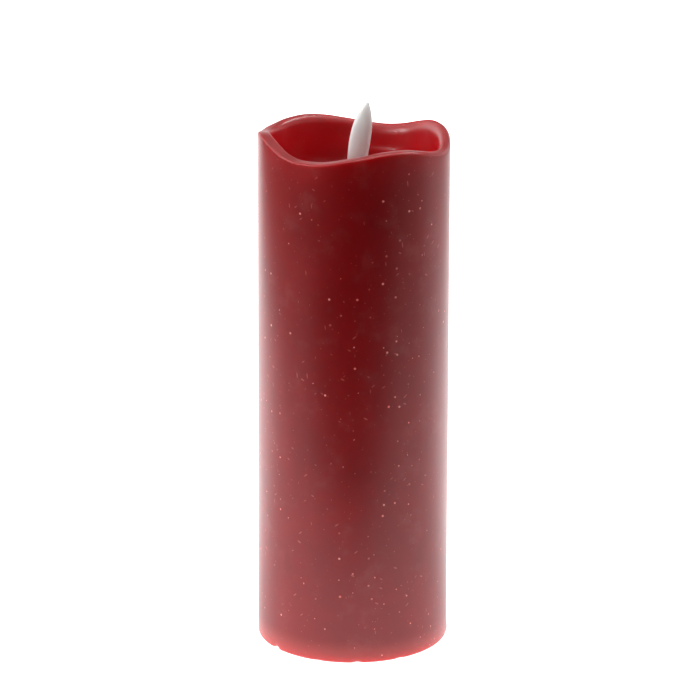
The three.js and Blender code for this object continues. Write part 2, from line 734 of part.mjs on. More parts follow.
const leadTop = BOARD_Z - GAP;
const LEADS = {
  // switched feed: driver board to switch board
  lead_positive: [
    [8, -9, leadTop],
    [8, -9, 143],
    [6.5, -10.5, 120],
    [9.5, -12, 90],
    [7, -10, 55],
    [8, -9, 30],
    [8, -9, 20.5],
    [7.6, -10.2, 17.6],
    [6.6, -17, 17.4],
    [5.8, -20.4, 15.8],
    [5.6, -20.8, 12.5],
  ],
  // return: driver board to the first cell's negative contact
  lead_negative: [
    [10, -9, leadTop],
    [10, -9, 143],
    [12.5, -8, 118],
    [10.8, -9.5, 88],
    [13, -7.5, 56],
    [10, -9, 30],
    [10, -9, 20.5],
    [9, -7.4, 17.6],
    [0, 0, 17.3],
    [-14, 9.4, 17.2],
    [-23.7, CELL.pitch, 16.7],
  ],
  // last cell's positive contact to the switch board
  battery_lead: [
    [23.7, -CELL.pitch, 16.7],
    [20, -13.6, 17.2],
    [13, -17.6, 17.2],
    [9.6, -20.4, 15.4],
    [9, -20.8, 12.5],
  ],
};

const LEAD_STEPS = { lead_positive: 40, lead_negative: 46, battery_lead: 10 };

// ---- Assembly -----------------------------------------------------------------------------------------

const candle = new THREE.Group();

function add(name, shape, material, parent = candle) {
  const mesh = meshOf(name, shape, material);
  parent.add(mesh);
  return mesh;
}

add("wax_shell", waxShell(), RED_WAX);

const hanging = new THREE.Group(); // leans about the swing axis, which the wire's ends lie on
hanging.position.set(0, 0, PIVOT_Z);
hanging.rotation.y = FLAME_LEAN;
candle.add(hanging);
add("flame_wire", flameWire(), STEEL, hanging);
add("flame", flame(), FLAME_PLASTIC, hanging);
add("flame_magnet", flameMagnet(), STEEL, hanging);

add("pool_cap", poolCap(), RED_PLASTIC);
add("module_body", moduleBody(), WHITE_PLASTIC);
add("module_lid", moduleLid(), WHITE_PLASTIC);
capScrewSpots.forEach(([x, y], i) => {
  const shank = 4.6;
  const screw = add(`module_screw_${i + 1}`, screwShape(0.85, shank, 2.1, 1.3), STEEL);
  screw.rotation.x = Math.PI; // driven upwards, head below the plate
  screw.position.set(x, y, MODULE_TOP - MODULE_WALL - GAP + shank);
});
add("led", led(), LED_LENS);
add("led_leg_long", ledLeg(1.27), STEEL);
add("led_leg_short", ledLeg(-1.27), STEEL);
add("coil_bobbin", coilBobbin(), BLACK_PLASTIC);
add("coil_winding", coilWinding(), COPPER);
add("driver_board", driverBoard(), GREEN_BOARD);
add("control_chip", onBoard(-11.4, -4, 4, 5, 1.5), BLACK_PLASTIC);
add("resistor_1", onBoard(-9.4, 6.6, 2, 1.3, 0.6), BLACK_PLASTIC);
add("resistor_2", onBoard(-6.4, 9.6, 2, 1.3, 0.6), BLACK_PLASTIC);
add("transistor", onBoard(8.6, 7.8, 2.9, 1.5, 1.1), BLACK_PLASTIC);
add("capacitor", capacitor(), BLACK_PLASTIC);

add("base_housing", baseHousing(), WHITE_PLASTIC);
add("base_cover", baseCover(), WHITE_PLASTIC);
COVER_SCREWS.forEach(([x, y], i) => {
  const shank = 7.4;
  const screw = add(`cover_screw_${i + 1}`, screwShape(0.9, shank, 2.3, 1.4), STEEL);
  screw.position.set(x, y, BASE_TOP + COVER_THICKNESS + 2 * GAP - shank);
});
add("battery_door", batteryDoor(), WHITE_PLASTIC);
[1, -1, 1].forEach((side, i) => add(`cell_${i + 1}`, cell(side, CELL.pitch * (1 - i)), CELL_WRAP));
const { half } = CONTACT;
const { pitch } = CELL;
add("contact_negative", contactPlate(-1, pitch - half, pitch + half, null, pitch), STEEL);
add("contact_bridge_front", contactPlate(1, -half, pitch + half, pitch, null), STEEL);
add("contact_bridge_rear", contactPlate(-1, -pitch - half, half, 0, null), STEEL);
add("contact_positive", contactPlate(1, -pitch - half, -pitch + half, -pitch, -pitch), STEEL);
[-1, 1, -1].forEach((side, i) => {
  add(`contact_spring_${i + 1}`, contactSpring(side, CELL.pitch * (1 - i)), STEEL);
});

add("switch_knob", switchKnob(), BLACK_PLASTIC);
add("switch_slider", switchSlider(), BLACK_PLASTIC);
add("switch_can", switchCan(), STEEL);
add("switch_board", switchBoard(), GREEN_BOARD);
SWITCH_SCREWS_X.forEach((x, i) => {
  const shank = 5.6;
  const screw = add(`switch_screw_${i + 1}`, screwShape(0.75, shank, 1.8, 1.1), STEEL);
  screw.position.set(x, SWITCH_Y, 12.1 + GAP - shank);
});

add("lead_positive", cordAlong(LEADS.lead_positive, LEAD_RADIUS, 8, LEAD_STEPS.lead_positive), RED_LEAD);
add("lead_negative", cordAlong(LEADS.lead_negative, LEAD_RADIUS, 8, LEAD_STEPS.lead_negative), BLACK_LEAD);
add("battery_lead", cordAlong(LEADS.battery_lead, LEAD_RADIUS, 8, LEAD_STEPS.battery_lead), RED_LEAD);

export default candle;
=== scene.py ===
import json
import math

import bmesh
import bpy
from mathutils import Matrix, Vector, noise

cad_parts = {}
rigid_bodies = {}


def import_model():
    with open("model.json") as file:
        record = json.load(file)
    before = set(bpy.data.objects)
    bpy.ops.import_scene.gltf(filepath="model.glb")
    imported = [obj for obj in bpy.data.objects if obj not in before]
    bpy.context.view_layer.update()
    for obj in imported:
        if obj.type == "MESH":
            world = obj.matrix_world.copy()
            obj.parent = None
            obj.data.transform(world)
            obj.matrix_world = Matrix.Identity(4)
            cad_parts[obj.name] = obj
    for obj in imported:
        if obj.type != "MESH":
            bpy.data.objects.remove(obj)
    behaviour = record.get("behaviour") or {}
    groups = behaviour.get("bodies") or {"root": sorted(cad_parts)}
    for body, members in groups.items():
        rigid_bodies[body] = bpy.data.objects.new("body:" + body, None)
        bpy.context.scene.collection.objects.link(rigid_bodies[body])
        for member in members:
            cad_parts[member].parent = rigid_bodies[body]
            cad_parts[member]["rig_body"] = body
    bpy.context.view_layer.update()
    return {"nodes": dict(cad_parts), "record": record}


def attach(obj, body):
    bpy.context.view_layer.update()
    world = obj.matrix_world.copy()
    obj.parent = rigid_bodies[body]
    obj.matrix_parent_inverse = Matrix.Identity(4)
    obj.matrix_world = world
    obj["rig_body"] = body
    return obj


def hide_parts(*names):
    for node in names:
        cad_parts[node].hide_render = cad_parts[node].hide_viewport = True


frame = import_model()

nodes = frame["nodes"]
MM = 0.001

# ---- Makers' helpers ----------------------------------------------------------------------------------


def put_in_scene(name, data):
    piece = bpy.data.objects.new(name, data)
    bpy.context.scene.collection.objects.link(piece)
    return piece


def mesh_piece(name, points, faces, edges=()):
    """A smooth-shaded piece from points in millimetres."""
    mesh = bpy.data.meshes.new(name)
    mesh.from_pydata([Vector(p) * MM for p in points], list(edges), list(faces))
    mesh.update()
    mesh.shade_smooth()
    return put_in_scene(name, mesh)


def rounded(piece, levels=2):
    """Adds a live subdivision."""
    step = piece.modifiers.new("rounded", "SUBSURF")
    step.levels = step.render_levels = levels
    return piece


def eased(piece, width, angle=32, segments=2):
    """Adds a live bevel of that width, in millimetres, on edges sharper than the angle."""
    step = piece.modifiers.new("eased", "BEVEL")
    step.width = width * MM
    step.segments = segments
    step.limit_method = "ANGLE"
    step.angle_limit = math.radians(angle)
    step.use_clamp_overlap = True
    step.harden_normals = True
    return piece


def settle(piece, place=Matrix.Identity(4)):
    """Makes the piece's modifiers real, then moves its mesh to its place, which is in millimetres."""
    graph = bpy.context.evaluated_depsgraph_get()
    made = bpy.data.meshes.new_from_object(piece.evaluated_get(graph))
    piece.modifiers.clear()
    old = piece.data
    piece.data = made
    made.transform(Matrix.Scale(MM, 4) @ place @ Matrix.Scale(1 / MM, 4))
    made.update()
    bpy.data.meshes.remove(old)
    return piece


def turned(name, profile, closed=False, steps=64):
    """A turned piece about Z: the profile is [radius, height] in millimetres, from top to bottom."""
    points = [(r, 0, z) for r, z in profile]
    edges = [(i, i + 1) for i in range(len(points) - 1)]
    if closed:
        edges.append((len(points) - 1, 0))
    piece = mesh_piece(name, points, [], edges)
    step = piece.modifiers.new("turned", "SCREW")
    step.steps = step.render_steps = steps
    step.use_merge_vertices = True
    step.merge_threshold = 0.004 * MM
    step.use_smooth_shade = True
    return piece


def round_outline(radius, x=0, y=0, sides=32):
    """The points of a circle, for a prism."""
    return [
        (x + radius * math.cos(2 * math.pi * i / sides), y + radius * math.sin(2 * math.pi * i / sides))
        for i in range(sides)
    ]


def box_outline(half_x, half_y, x=0, y=0):
    """The corners of a rectangle, for a prism."""
    corners = [(-half_x, -half_y), (half_x, -half_y), (half_x, half_y), (-half_x, half_y)]
    return [(x + across, y + along) for across, along in corners]


def stadium_outline(half, radius, sides=12):
    """A slot's points: two half rounds, that far either side of the middle."""
    points = []
    for side in (1, -1):
        for i in range(sides + 1):
            turn = math.pi * (i / sides - 0.5) + (0 if side > 0 else math.pi)
            points.append((side * half + radius * math.cos(turn), radius * math.sin(turn)))
    return points


def prism(name, outline, low, high):
    """An upright prism: the outline goes round anticlockwise, seen from above."""
    count = len(outline)
    points = [(x, y, low) for x, y in outline] + [(x, y, high) for x, y in outline]
    faces = [tuple(reversed(range(count))), tuple(range(count, 2 * count))]
    faces += [(i, (i + 1) % count, (i + 1) % count + count, i + count) for i in range(count)]
    return mesh_piece(name, points, faces)


def combine(piece, tool, operation):
    """Joins the tool's solid to the piece, or cuts it out, for good."""
    step = piece.modifiers.new("combined", "BOOLEAN")
    step.operation = operation
    step.solver = "EXACT"
    step.object = tool
    settle(piece)
    bpy.data.objects.remove(tool)
    return piece


def cut_away(piece, *tools):
    for tool in tools:
        combine(piece, tool, "DIFFERENCE")
    return piece


def fuse(piece, *others):
    for other in others:
        combine(piece, other, "UNION")
    return piece


def wire_along(name, points, radius):
    """A round wire or lead through the points."""
    curve = bpy.data.curves.new(name, "CURVE")
    curve.dimensions = "3D"
    curve.bevel_depth = radius * MM
    curve.bevel_resolution = 3
    curve.use_fill_caps = True
    curve.resolution_u = 6
    spline = curve.splines.new("BEZIER")
    spline.bezier_points.add(len(points) - 1)
    for knot, point in zip(spline.bezier_points, points):
        knot.co = Vector(point) * MM
        knot.handle_left_type = knot.handle_right_type = "AUTO"
    return put_in_scene(name, curve)


def fine_copy(node_name, ease):
    """A copy of a CAD node with its facets joined, its rounds smooth and its edges eased."""
    work = bmesh.new()
    work.from_mesh(nodes[node_name].data)
    bmesh.ops.remove_doubles(work, verts=work.verts, dist=0.01 * MM)
    bmesh.ops.dissolve_limit(work, angle_limit=math.radians(0.5), verts=work.verts, edges=work.edges)
    mesh = bpy.data.meshes.new(node_name + "_fine")
    work.to_mesh(mesh)
    work.free()
    mesh.shade_smooth()
    piece = put_in_scene(mesh.name, mesh)
    return eased(piece, ease)


def wear(piece, material):
    """Gives the piece its material."""
    piece.data.materials.clear()
    piece.data.materials.append(material)
    return piece


def stand_for(piece, *names):
    """Sets the piece on the body of the CAD nodes that it stands for, in their finish."""
    finish = SLOT_OF[names[0]]
    wear(piece, BY_SLOT[finish])
    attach(piece, nodes[names[0]]["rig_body"])
    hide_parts(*names)
    return piece


def add_to(piece, name):
    """Sets an extra piece on a CAD node's body, in that node's finish."""
    wear(piece, BY_SLOT[SLOT_OF[name]])
    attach(piece, nodes[name]["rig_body"])
    return piece


# ---- Material helpers ---------------------------------------------------------------------------------


def node(tree, kind, settings=None, **inputs):
    """Adds a node. Inputs go by socket name, with _ for a space: a value, or another node's output."""
    made = tree.nodes.new(kind)
    for key, value in (settings or {}).items():
        setattr(made, key, value)
    for key, value in inputs.items():
        socket = made.inputs[key.replace("_", " ")]
        if isinstance(value, bpy.types.NodeSocket):
            tree.links.new(value, socket)
        else:
            socket.default_value = value
    return made


def maths(tree, operation, a, b=None, clamp=False):
    """A math node on one or two values or outputs."""
    made = tree.nodes.new("ShaderNodeMath")
    made.operation = operation
    made.use_clamp = clamp
    for socket, value in zip(made.inputs, (a, b)):
        if isinstance(value, bpy.types.NodeSocket):
            tree.links.new(value, socket)
        elif value is not None:
            socket.default_value = value
    return made.outputs[0]


def ramp_between(tree, value, low, high, out_low=0.0, out_high=1.0):
    """A smooth step of the value from low to high."""
    made = node(tree, "ShaderNodeMapRange", {"interpolation_type": "SMOOTHSTEP"}, Value=value)
    made.inputs["From Min"].default_value = low
    made.inputs["From Max"].default_value = high
    made.inputs["To Min"].default_value = out_low
    made.inputs["To Max"].default_value = out_high
    return made.outputs["Result"]


def blend_of(tree, factor, a, b, kind="MIX"):
    """A colour mix: colours are (r, g, b) or outputs."""
    made = tree.nodes.new("ShaderNodeMix")
    made.data_type = "RGBA"
    made.blend_type = kind
    for index, value in ((0, factor), (6, a), (7, b)):
        socket = made.inputs[index]
        if isinstance(value, bpy.types.NodeSocket):
            tree.links.new(value, socket)
        elif index == 0:
            socket.default_value = value
        else:
            socket.default_value = (*value, 1)
    return made.outputs[2]


def new_group(name, inputs, outputs):
    """A shader node group with named sockets: returns (tree, entry node, exit node)."""
    tree = bpy.data.node_groups.new(name, "ShaderNodeTree")
    for label, kind, default in inputs:
        socket = tree.interface.new_socket(label, in_out="INPUT", socket_type=kind)
        if default is not None:
            socket.default_value = default
    for label, kind in outputs:
        tree.interface.new_socket(label, in_out="OUTPUT", socket_type=kind)
    return tree, tree.nodes.new("NodeGroupInput"), tree.nodes.new("NodeGroupOutput")


NUMBER = "NodeSocketFloat"
COLOUR = "NodeSocketColor"
PLACE = "NodeSocketVector"


def make_uneven_tint():
    """Cloudy, two-scale variation of a colour and of its gloss."""
    inputs = [
        ("Place", PLACE, None),
        ("Colour", COLOUR, (0.5, 0.5, 0.5, 1)),
        ("Cloud size", NUMBER, 12),
        ("Depth", NUMBER, 0.1),
        ("Roughness", NUMBER, 0.4),
        ("Gloss change", NUMBER, 0.06),
    ]
    tree, entry, leave = new_group("uneven tint", inputs, [("Colour", COLOUR), ("Roughness", NUMBER)])
    place = entry.outputs["Place"]
    clouds_per_metre = maths(tree, "DIVIDE", 1000.0, entry.outputs["Cloud size"])
    broad = node(tree, "ShaderNodeTexNoise", Vector=place, Scale=clouds_per_metre, Detail=4.0)
    finer = maths(tree, "MULTIPLY", clouds_per_metre, 5.3)
    small = node(tree, "ShaderNodeTexNoise", Vector=place, Scale=finer, Detail=2.0)
    both = maths(tree, "ADD", broad.outputs["Fac"], maths(tree, "MULTIPLY", small.outputs["Fac"], 0.4))
    centred = maths(tree, "SUBTRACT", both, 0.7)
    gain = maths(tree, "ADD", 1.0, maths(tree, "MULTIPLY", centred, entry.outputs["Depth"]))
    tinted = tree.nodes.new("ShaderNodeVectorMath")
    tinted.operation = "SCALE"
    tree.links.new(entry.outputs["Colour"], tinted.inputs[0])
    tree.links.new(gain, tinted.inputs["Scale"])
    tree.links.new(tinted.outputs[0], leave.inputs["Colour"])
    change = maths(tree, "MULTIPLY", centred, entry.outputs["Gloss change"])
    rough = maths(tree, "ADD", entry.outputs["Roughness"], change, clamp=True)
    tree.links.new(rough, leave.inputs["Roughness"])
    return tree


def make_fine_grain():
    """Moulded or cast grain as a height for a bump, with faint larger waves."""
    inputs = [("Place", PLACE, None), ("Grain size", NUMBER, 0.4), ("Wave", NUMBER, 0.3)]
    tree, entry, leave = new_group("fine grain", inputs, [("Height", NUMBER)])
    per_metre = maths(tree, "DIVIDE", 1000.0, entry.outputs["Grain size"])
    grain = node(tree, "ShaderNodeTexNoise", Vector=entry.outputs["Place"], Scale=per_metre, Detail=3.0)
    wide = maths(tree, "MULTIPLY", per_metre, 0.06)
    wave = node(tree, "ShaderNodeTexNoise", Vector=entry.outputs["Place"], Scale=wide, Detail=1.0)
    lifted = maths(tree, "MULTIPLY", wave.outputs["Fac"], entry.outputs["Wave"])
    tree.links.new(maths(tree, "ADD", grain.outputs["Fac"], lifted), leave.inputs["Height"])
    return tree


def make_scattered_marks():
    """Small marks strewn over a flat place in metres.

    There is one in each cell of a stretched and turned grid, in millimetres, and some are left out.
    """
    inputs = [
        ("Place", PLACE, None),
        ("Turn", NUMBER, 0),
        ("Cell", PLACE, (4, 4, 1)),
        ("Radius", NUMBER, 0.1),
        ("Share", NUMBER, 0.5),
    ]
    tree, entry, leave = new_group("scattered marks", inputs, [("Mask", NUMBER), ("Chance", NUMBER)])
    spun = node(tree, "ShaderNodeVectorRotate", {"rotation_type": "Z_AXIS"}, Vector=entry.outputs["Place"])
    tree.links.new(entry.outputs["Turn"], spun.inputs["Angle"])
    in_mm = tree.nodes.new("ShaderNodeVectorMath")
    in_mm.operation = "SCALE"
    in_mm.inputs["Scale"].default_value = 1000
    tree.links.new(spun.outputs[0], in_mm.inputs[0])
    cells = tree.nodes.new("ShaderNodeVectorMath")
    cells.operation = "DIVIDE"
    tree.links.new(in_mm.outputs[0], cells.inputs[0])
    tree.links.new(entry.outputs["Cell"], cells.inputs[1])
    flat = {"feature": "F1", "voronoi_dimensions": "2D"}
    spots = node(tree, "ShaderNodeTexVoronoi", flat, Vector=cells.outputs[0], Scale=1.0)
    chance = node(tree, "ShaderNodeSeparateColor", Color=spots.outputs["Color"])
    size = maths(tree, "MULTIPLY", entry.outputs["Radius"], maths(tree, "ADD", chance.outputs[1], 0.5))
    inner = maths(tree, "MULTIPLY", size, 0.55)
    shape = tree.nodes.new("ShaderNodeMapRange")
    shape.interpolation_type = "SMOOTHSTEP"
    tree.links.new(spots.outputs["Distance"], shape.inputs["Value"])
    tree.links.new(size, shape.inputs["From Min"])
    tree.links.new(inner, shape.inputs["From Max"])
    kept = maths(tree, "LESS_THAN", chance.outputs[0], entry.outputs["Share"])
    tree.links.new(maths(tree, "MULTIPLY", shape.outputs["Result"], kept), leave.inputs["Mask"])
    tree.links.new(chance.outputs[2], leave.inputs["Chance"])
    return tree


UNEVEN_TINT = make_uneven_tint()
FINE_GRAIN = make_fine_grain()
SCATTERED_MARKS = make_scattered_marks()


def group_node(tree, group, **inputs):
    made = tree.nodes.new("ShaderNodeGroup")
    made.node_tree = group
    for key, value in inputs.items():
        socket = made.inputs[key.replace("_", " ")]
        if isinstance(value, bpy.types.NodeSocket):
            tree.links.new(value, socket)
        else:
            socket.default_value = value
    return made


def blank_material(name):
    """A material with only its shader: returns (material, tree, shader, place)."""
    material = bpy.data.materials.new(name)
    material.use_nodes = True
    tree = material.node_tree
    shader = tree.nodes["Principled BSDF"]
    place = tree.nodes.new("ShaderNodeTexCoord").outputs["Object"]
    return material, tree, shader, place


def bump_onto(tree, shader, height, strength, depth):
    bump = node(tree, "ShaderNodeBump", Height=height, Strength=strength, Distance=depth * MM)
    tree.links.new(bump.outputs[0], shader.inputs["Normal"])


def moulded(name, colour, roughness, grain=0.35, depth=0.02, cloud=14, metallic=0.0, **fixed):
    """A moulded, plated or painted finish: clouded tint, uneven gloss and a fine grain."""
    material, tree, shader, place = blank_material(name)
    tinted = group_node(
        tree,
        UNEVEN_TINT,
        Place=place,
        Colour=(*colour, 1),
        Cloud_size=cloud,
        Depth=0.12,
        Roughness=roughness,
        Gloss_change=0.25,
    )
    tree.links.new(tinted.outputs["Colour"], shader.inputs["Base Color"])
    tree.links.new(tinted.outputs["Roughness"], shader.inputs["Roughness"])
    shader.inputs["Metallic"].default_value = metallic
    for key, value in fixed.items():
        shader.inputs[key.replace("_", " ")].default_value = value
    height = group_node(tree, FINE_GRAIN, Place=place, Grain_size=grain)
    bump_onto(tree, shader, height.outputs["Height"], 0.6, depth)
    return material


# ---- Materials ----------------------------------------------------------------------------------------

RADIUS = 37.5  # of the candle, in millimetres
WAX_RED = (0.255, 0.0011, 0.003)
# Painted glow: a lighter red painted where light comes through thin wax.
WAX_PAINTED_GLOW = (0.47, 0.001, 0.005)  # where light comes through
# Painted glow: a paler red painted on the foot for the table's light shining into it.
WAX_PAINTED_FOOT_GLOW = (0.5, 0.06, 0.054)  # where the pale table shines into the foot
WAX_ROUGHNESS = 0.315
WAX_BLOOM = (0.5, 0.2, 0.2)
CRUMB = (0.95, 0.30, 0.26)
FLAME_WHITE = (0.74, 0.79, 0.78)
PAINTED_FOOT_GLOW_TOP = 0.010  # metres up from the table
BOARD_GREENS = [(0.012, 0.12, 0.045, 1), (0.02, 0.16, 0.06, 1), (0.045, 0.25, 0.1, 1)]
WRAP_BLUE = (0.045, 0.06, 0.085, 1)
WRAP_BAND = (0.56, 0.55, 0.5)
CAN_STEEL = (0.62, 0.62, 0.64)
BAND_STARTS = (0.0150, 0.0152)  # metres from the cell's middle
COPPER_DARK = (0.24, 0.07, 0.02)
COPPER_BRIGHT = (0.78, 0.33, 0.13)
TIN = (0.72, 0.72, 0.7)


def strewn(tree, skin, turn, cell, radius, share):
    """Marks strewn over the skin: the cell is in millimetres, and the radius is a share of it."""
    return group_node(tree, SCATTERED_MARKS, Place=skin, Turn=turn, Cell=cell, Radius=radius, Share=share)


def wax_marks(tree, place):
    """How strongly each spot of the wax's outside is marked, from 0 to 1.

    The marks are crumbs, dust and three kinds of short scratch.
    """
    x, y, height = node(tree, "ShaderNodeSeparateXYZ", Vector=place).outputs
    # The skin unrolled, in metres: round the candle from the back, and up.
    round_it = maths(tree, "ARCTAN2", x, maths(tree, "MULTIPLY", y, -1.0))
    round_it = maths(tree, "MULTIPLY", round_it, RADIUS * MM)
    skin = node(tree, "ShaderNodeCombineXYZ", X=round_it, Y=height).outputs[0]
    # Crumbs gather in patches, and more of them low down.
    gather = node(tree, "ShaderNodeTexNoise", Vector=place, Scale=42.0, Detail=2.0).outputs["Fac"]
    low_down = ramp_between(tree, height, 0.21, 0.07, 0.28, 0.62)
    crumb_share = maths(tree, "MULTIPLY", ramp_between(tree, gather, 0.38, 0.62), low_down)
    crumbs = strewn(tree, skin, 0, (5.6, 5.6, 1), 0.074, crumb_share)
    bold = ramp_between(tree, crumbs.outputs["Chance"], 0.2, 0.9, 0.3, 1.0)
    strong = maths(tree, "MULTIPLY", crumbs.outputs["Mask"], bold)
    dust = strewn(tree, skin, 0.5, (3.1, 3.1, 1), 0.07, 0.3)
    faint = maths(tree, "MULTIPLY", dust.outputs["Mask"], 0.2)
    # Scratches: rising, upright and falling, where the wax was scuffed.
    scuffed = node(tree, "ShaderNodeTexNoise", Vector=place, Scale=30.0, Detail=1.0).outputs["Fac"]
    scuffed = ramp_between(tree, scuffed, 0.42, 0.68, 0.04, 0.55)
    scratched = strewn(tree, skin, 0.9, (4.6, 17, 1), 0.05, scuffed).outputs["Mask"]
    for turn, cell, radius in ((-0.12, (5, 24, 1), 0.04), (2.05, (5.5, 14, 1), 0.055)):
        more = strewn(tree, skin, turn, cell, radius, scuffed).outputs["Mask"]
        scratched = maths(tree, "MAXIMUM", scratched, more)
    scratched = maths(tree, "MULTIPLY", scratched, 0.26)
    marks = maths(tree, "MAXIMUM", strong, maths(tree, "MAXIMUM", faint, scratched))
    inside = node(tree, "ShaderNodeAttribute", {"attribute_name": "inside"}).outputs["Fac"]
    return maths(tree, "MULTIPLY", marks, maths(tree, "SUBTRACT", 1.0, inside))


def make_wax():
    """Dark red wax: translucent, half glossy, scuffed, with pale crumbs stuck to it, and a painted glow at
    the lip, the pool and the foot.
    """
    material, tree, shader, place = blank_material("wax")
    body = group_node(
        tree,
        UNEVEN_TINT,
        Place=place,
        Colour=(*WAX_RED, 1),
        Cloud_size=30.0,
        Depth=0.45,
        Roughness=WAX_ROUGHNESS,
        Gloss_change=0.05,
    )
    # Painted glow: the thin lip, the pool and the foot are painted a lighter red where light comes through
    # the wax.
    lit = node(tree, "ShaderNodeAttribute", {"attribute_name": "lit"}).outputs["Fac"]
    colour = blend_of(tree, lit, body.outputs["Colour"], WAX_PAINTED_GLOW)
    height = node(tree, "ShaderNodeSeparateXYZ", Vector=place).outputs["Z"]
    # Painted glow: the foot is painted paler, for the pale table's light shining into it.
    foot = ramp_between(tree, height, PAINTED_FOOT_GLOW_TOP, 0.0)
    colour = blend_of(tree, maths(tree, "MULTIPLY", foot, 0.8), colour, WAX_PAINTED_FOOT_GLOW)
    # Faint bloom in soft patches.
    bloom = node(tree, "ShaderNodeTexNoise", Vector=place, Scale=85.0, Detail=5.0, Roughness=0.62)
    patch = ramp_between(tree, bloom.outputs["Fac"], 0.5, 0.8)
    colour = blend_of(tree, maths(tree, "MULTIPLY", patch, 0.12), colour, WAX_BLOOM)
    marks = wax_marks(tree, place)
    colour = blend_of(tree, marks, colour, CRUMB)
    tree.links.new(colour, shader.inputs["Base Color"])
    dulled = maths(tree, "ADD", body.outputs["Roughness"], maths(tree, "MULTIPLY", marks, 0.4))
    tree.links.new(dulled, shader.inputs["Roughness"])
    shader.inputs["Subsurface Weight"].default_value = 1.0
    shader.inputs["Subsurface Radius"].default_value = (1.0, 0.16, 0.14)
    shader.inputs["Subsurface Scale"].default_value = 0.009
    shader.inputs["IOR"].default_value = 1.55
    grain = group_node(tree, FINE_GRAIN, Place=place, Grain_size=1.1, Wave=3.0)
    raised = maths(tree, "ADD", grain.outputs["Height"], maths(tree, "MULTIPLY", marks, 2.0))
    bump_onto(tree, shader, raised, 0.5, 0.03)
    return material


def make_flame_white():
    """Frosted white plastic that light passes into."""
    material, tree, shader, place = blank_material("flame white")
    tinted = group_node(
        tree,
        UNEVEN_TINT,
        Place=place,
        Colour=(*FLAME_WHITE, 1),
        Cloud_size=5.0,
        Depth=0.05,
        Roughness=0.42,
        Gloss_change=0.1,
    )
    tree.links.new(tinted.outputs["Colour"], shader.inputs["Base Color"])
    tree.links.new(tinted.outputs["Roughness"], shader.inputs["Roughness"])
    shader.inputs["Subsurface Weight"].default_value = 1.0
    shader.inputs["Subsurface Radius"].default_value = (1.0, 0.9, 0.85)
    shader.inputs["Subsurface Scale"].default_value = 0.004
    grain = group_node(tree, FINE_GRAIN, Place=place, Grain_size=0.3)
    bump_onto(tree, shader, grain.outputs["Height"], 0.3, 0.012)
    return material


def make_cell_wrap():
    """A plain dark wrap with a pale band at the nub end, on bright steel ends."""
    material, tree, shader, place = blank_material("cell wrap")
    across = node(tree, "ShaderNodeSeparateXYZ", Vector=place).outputs["X"]
    outward = node(tree, "ShaderNodeNewGeometry").outputs["Normal"]
    end_on = maths(tree, "ABSOLUTE", node(tree, "ShaderNodeSeparateXYZ", Vector=outward).outputs["X"])
    bare = ramp_between(tree, end_on, 0.55, 0.75)
    band = ramp_between(tree, maths(tree, "ABSOLUTE", across), *BAND_STARTS)
    body = group_node(tree, UNEVEN_TINT, Place=place, Colour=WRAP_BLUE, Cloud_size=6.0, Depth=0.15)
    printed = blend_of(tree, band, body.outputs["Colour"], WRAP_BAND)
    colour = blend_of(tree, bare, printed, CAN_STEEL)
    tree.links.new(colour, shader.inputs["Base Color"])
    tree.links.new(bare, shader.inputs["Metallic"])
    tree.links.new(body.outputs["Roughness"], shader.inputs["Roughness"])
    grain = group_node(tree, FINE_GRAIN, Place=place, Grain_size=0.9)
    bump_onto(tree, shader, grain.outputs["Height"], 0.3, 0.01)
    return material


def make_winding():
    """Lacquered copper wire: fine rings up the coil."""
    material, tree, shader, place = blank_material("winding copper")
    turns = node(
        tree,
        "ShaderNodeTexWave",
        {"wave_type": "BANDS", "bands_direction": "Z"},
        Vector=place,
        Scale=1600.0,
        Distortion=1.2,
        Detail=1.0,
    )
    colour = blend_of(tree, turns.outputs["Fac"], COPPER_DARK, COPPER_BRIGHT)
    tree.links.new(colour, shader.inputs["Base Color"])
    shader.inputs["Metallic"].default_value = 1.0
    shader.inputs["Roughness"].default_value = 0.3
    bump_onto(tree, shader, turns.outputs["Fac"], 0.8, 0.08)
    return material


def make_board():
    """Green solder mask with darker tracks and small tinned pads."""
    material, tree, shader, place = blank_material("circuit board")
    tracks = node(tree, "ShaderNodeTexBrick", Vector=place, Scale=260.0)
    tracks.offset = 0.35
    for label, green in zip(("Color1", "Color2", "Mortar"), BOARD_GREENS):
        tracks.inputs[label].default_value = green
    tracks.inputs["Mortar Size"].default_value = 0.05
    pads = group_node(tree, SCATTERED_MARKS, Place=place, Cell=(3.1, 3.1, 1), Radius=0.26, Share=0.3)
    colour = blend_of(tree, pads.outputs["Mask"], tracks.outputs["Color"], TIN)
    tree.links.new(colour, shader.inputs["Base Color"])
    tree.links.new(pads.outputs["Mask"], shader.inputs["Metallic"])
    shader.inputs["Roughness"].default_value = 0.38
    bump_onto(tree, shader, tracks.outputs["Fac"], 0.4, 0.03)
    return material


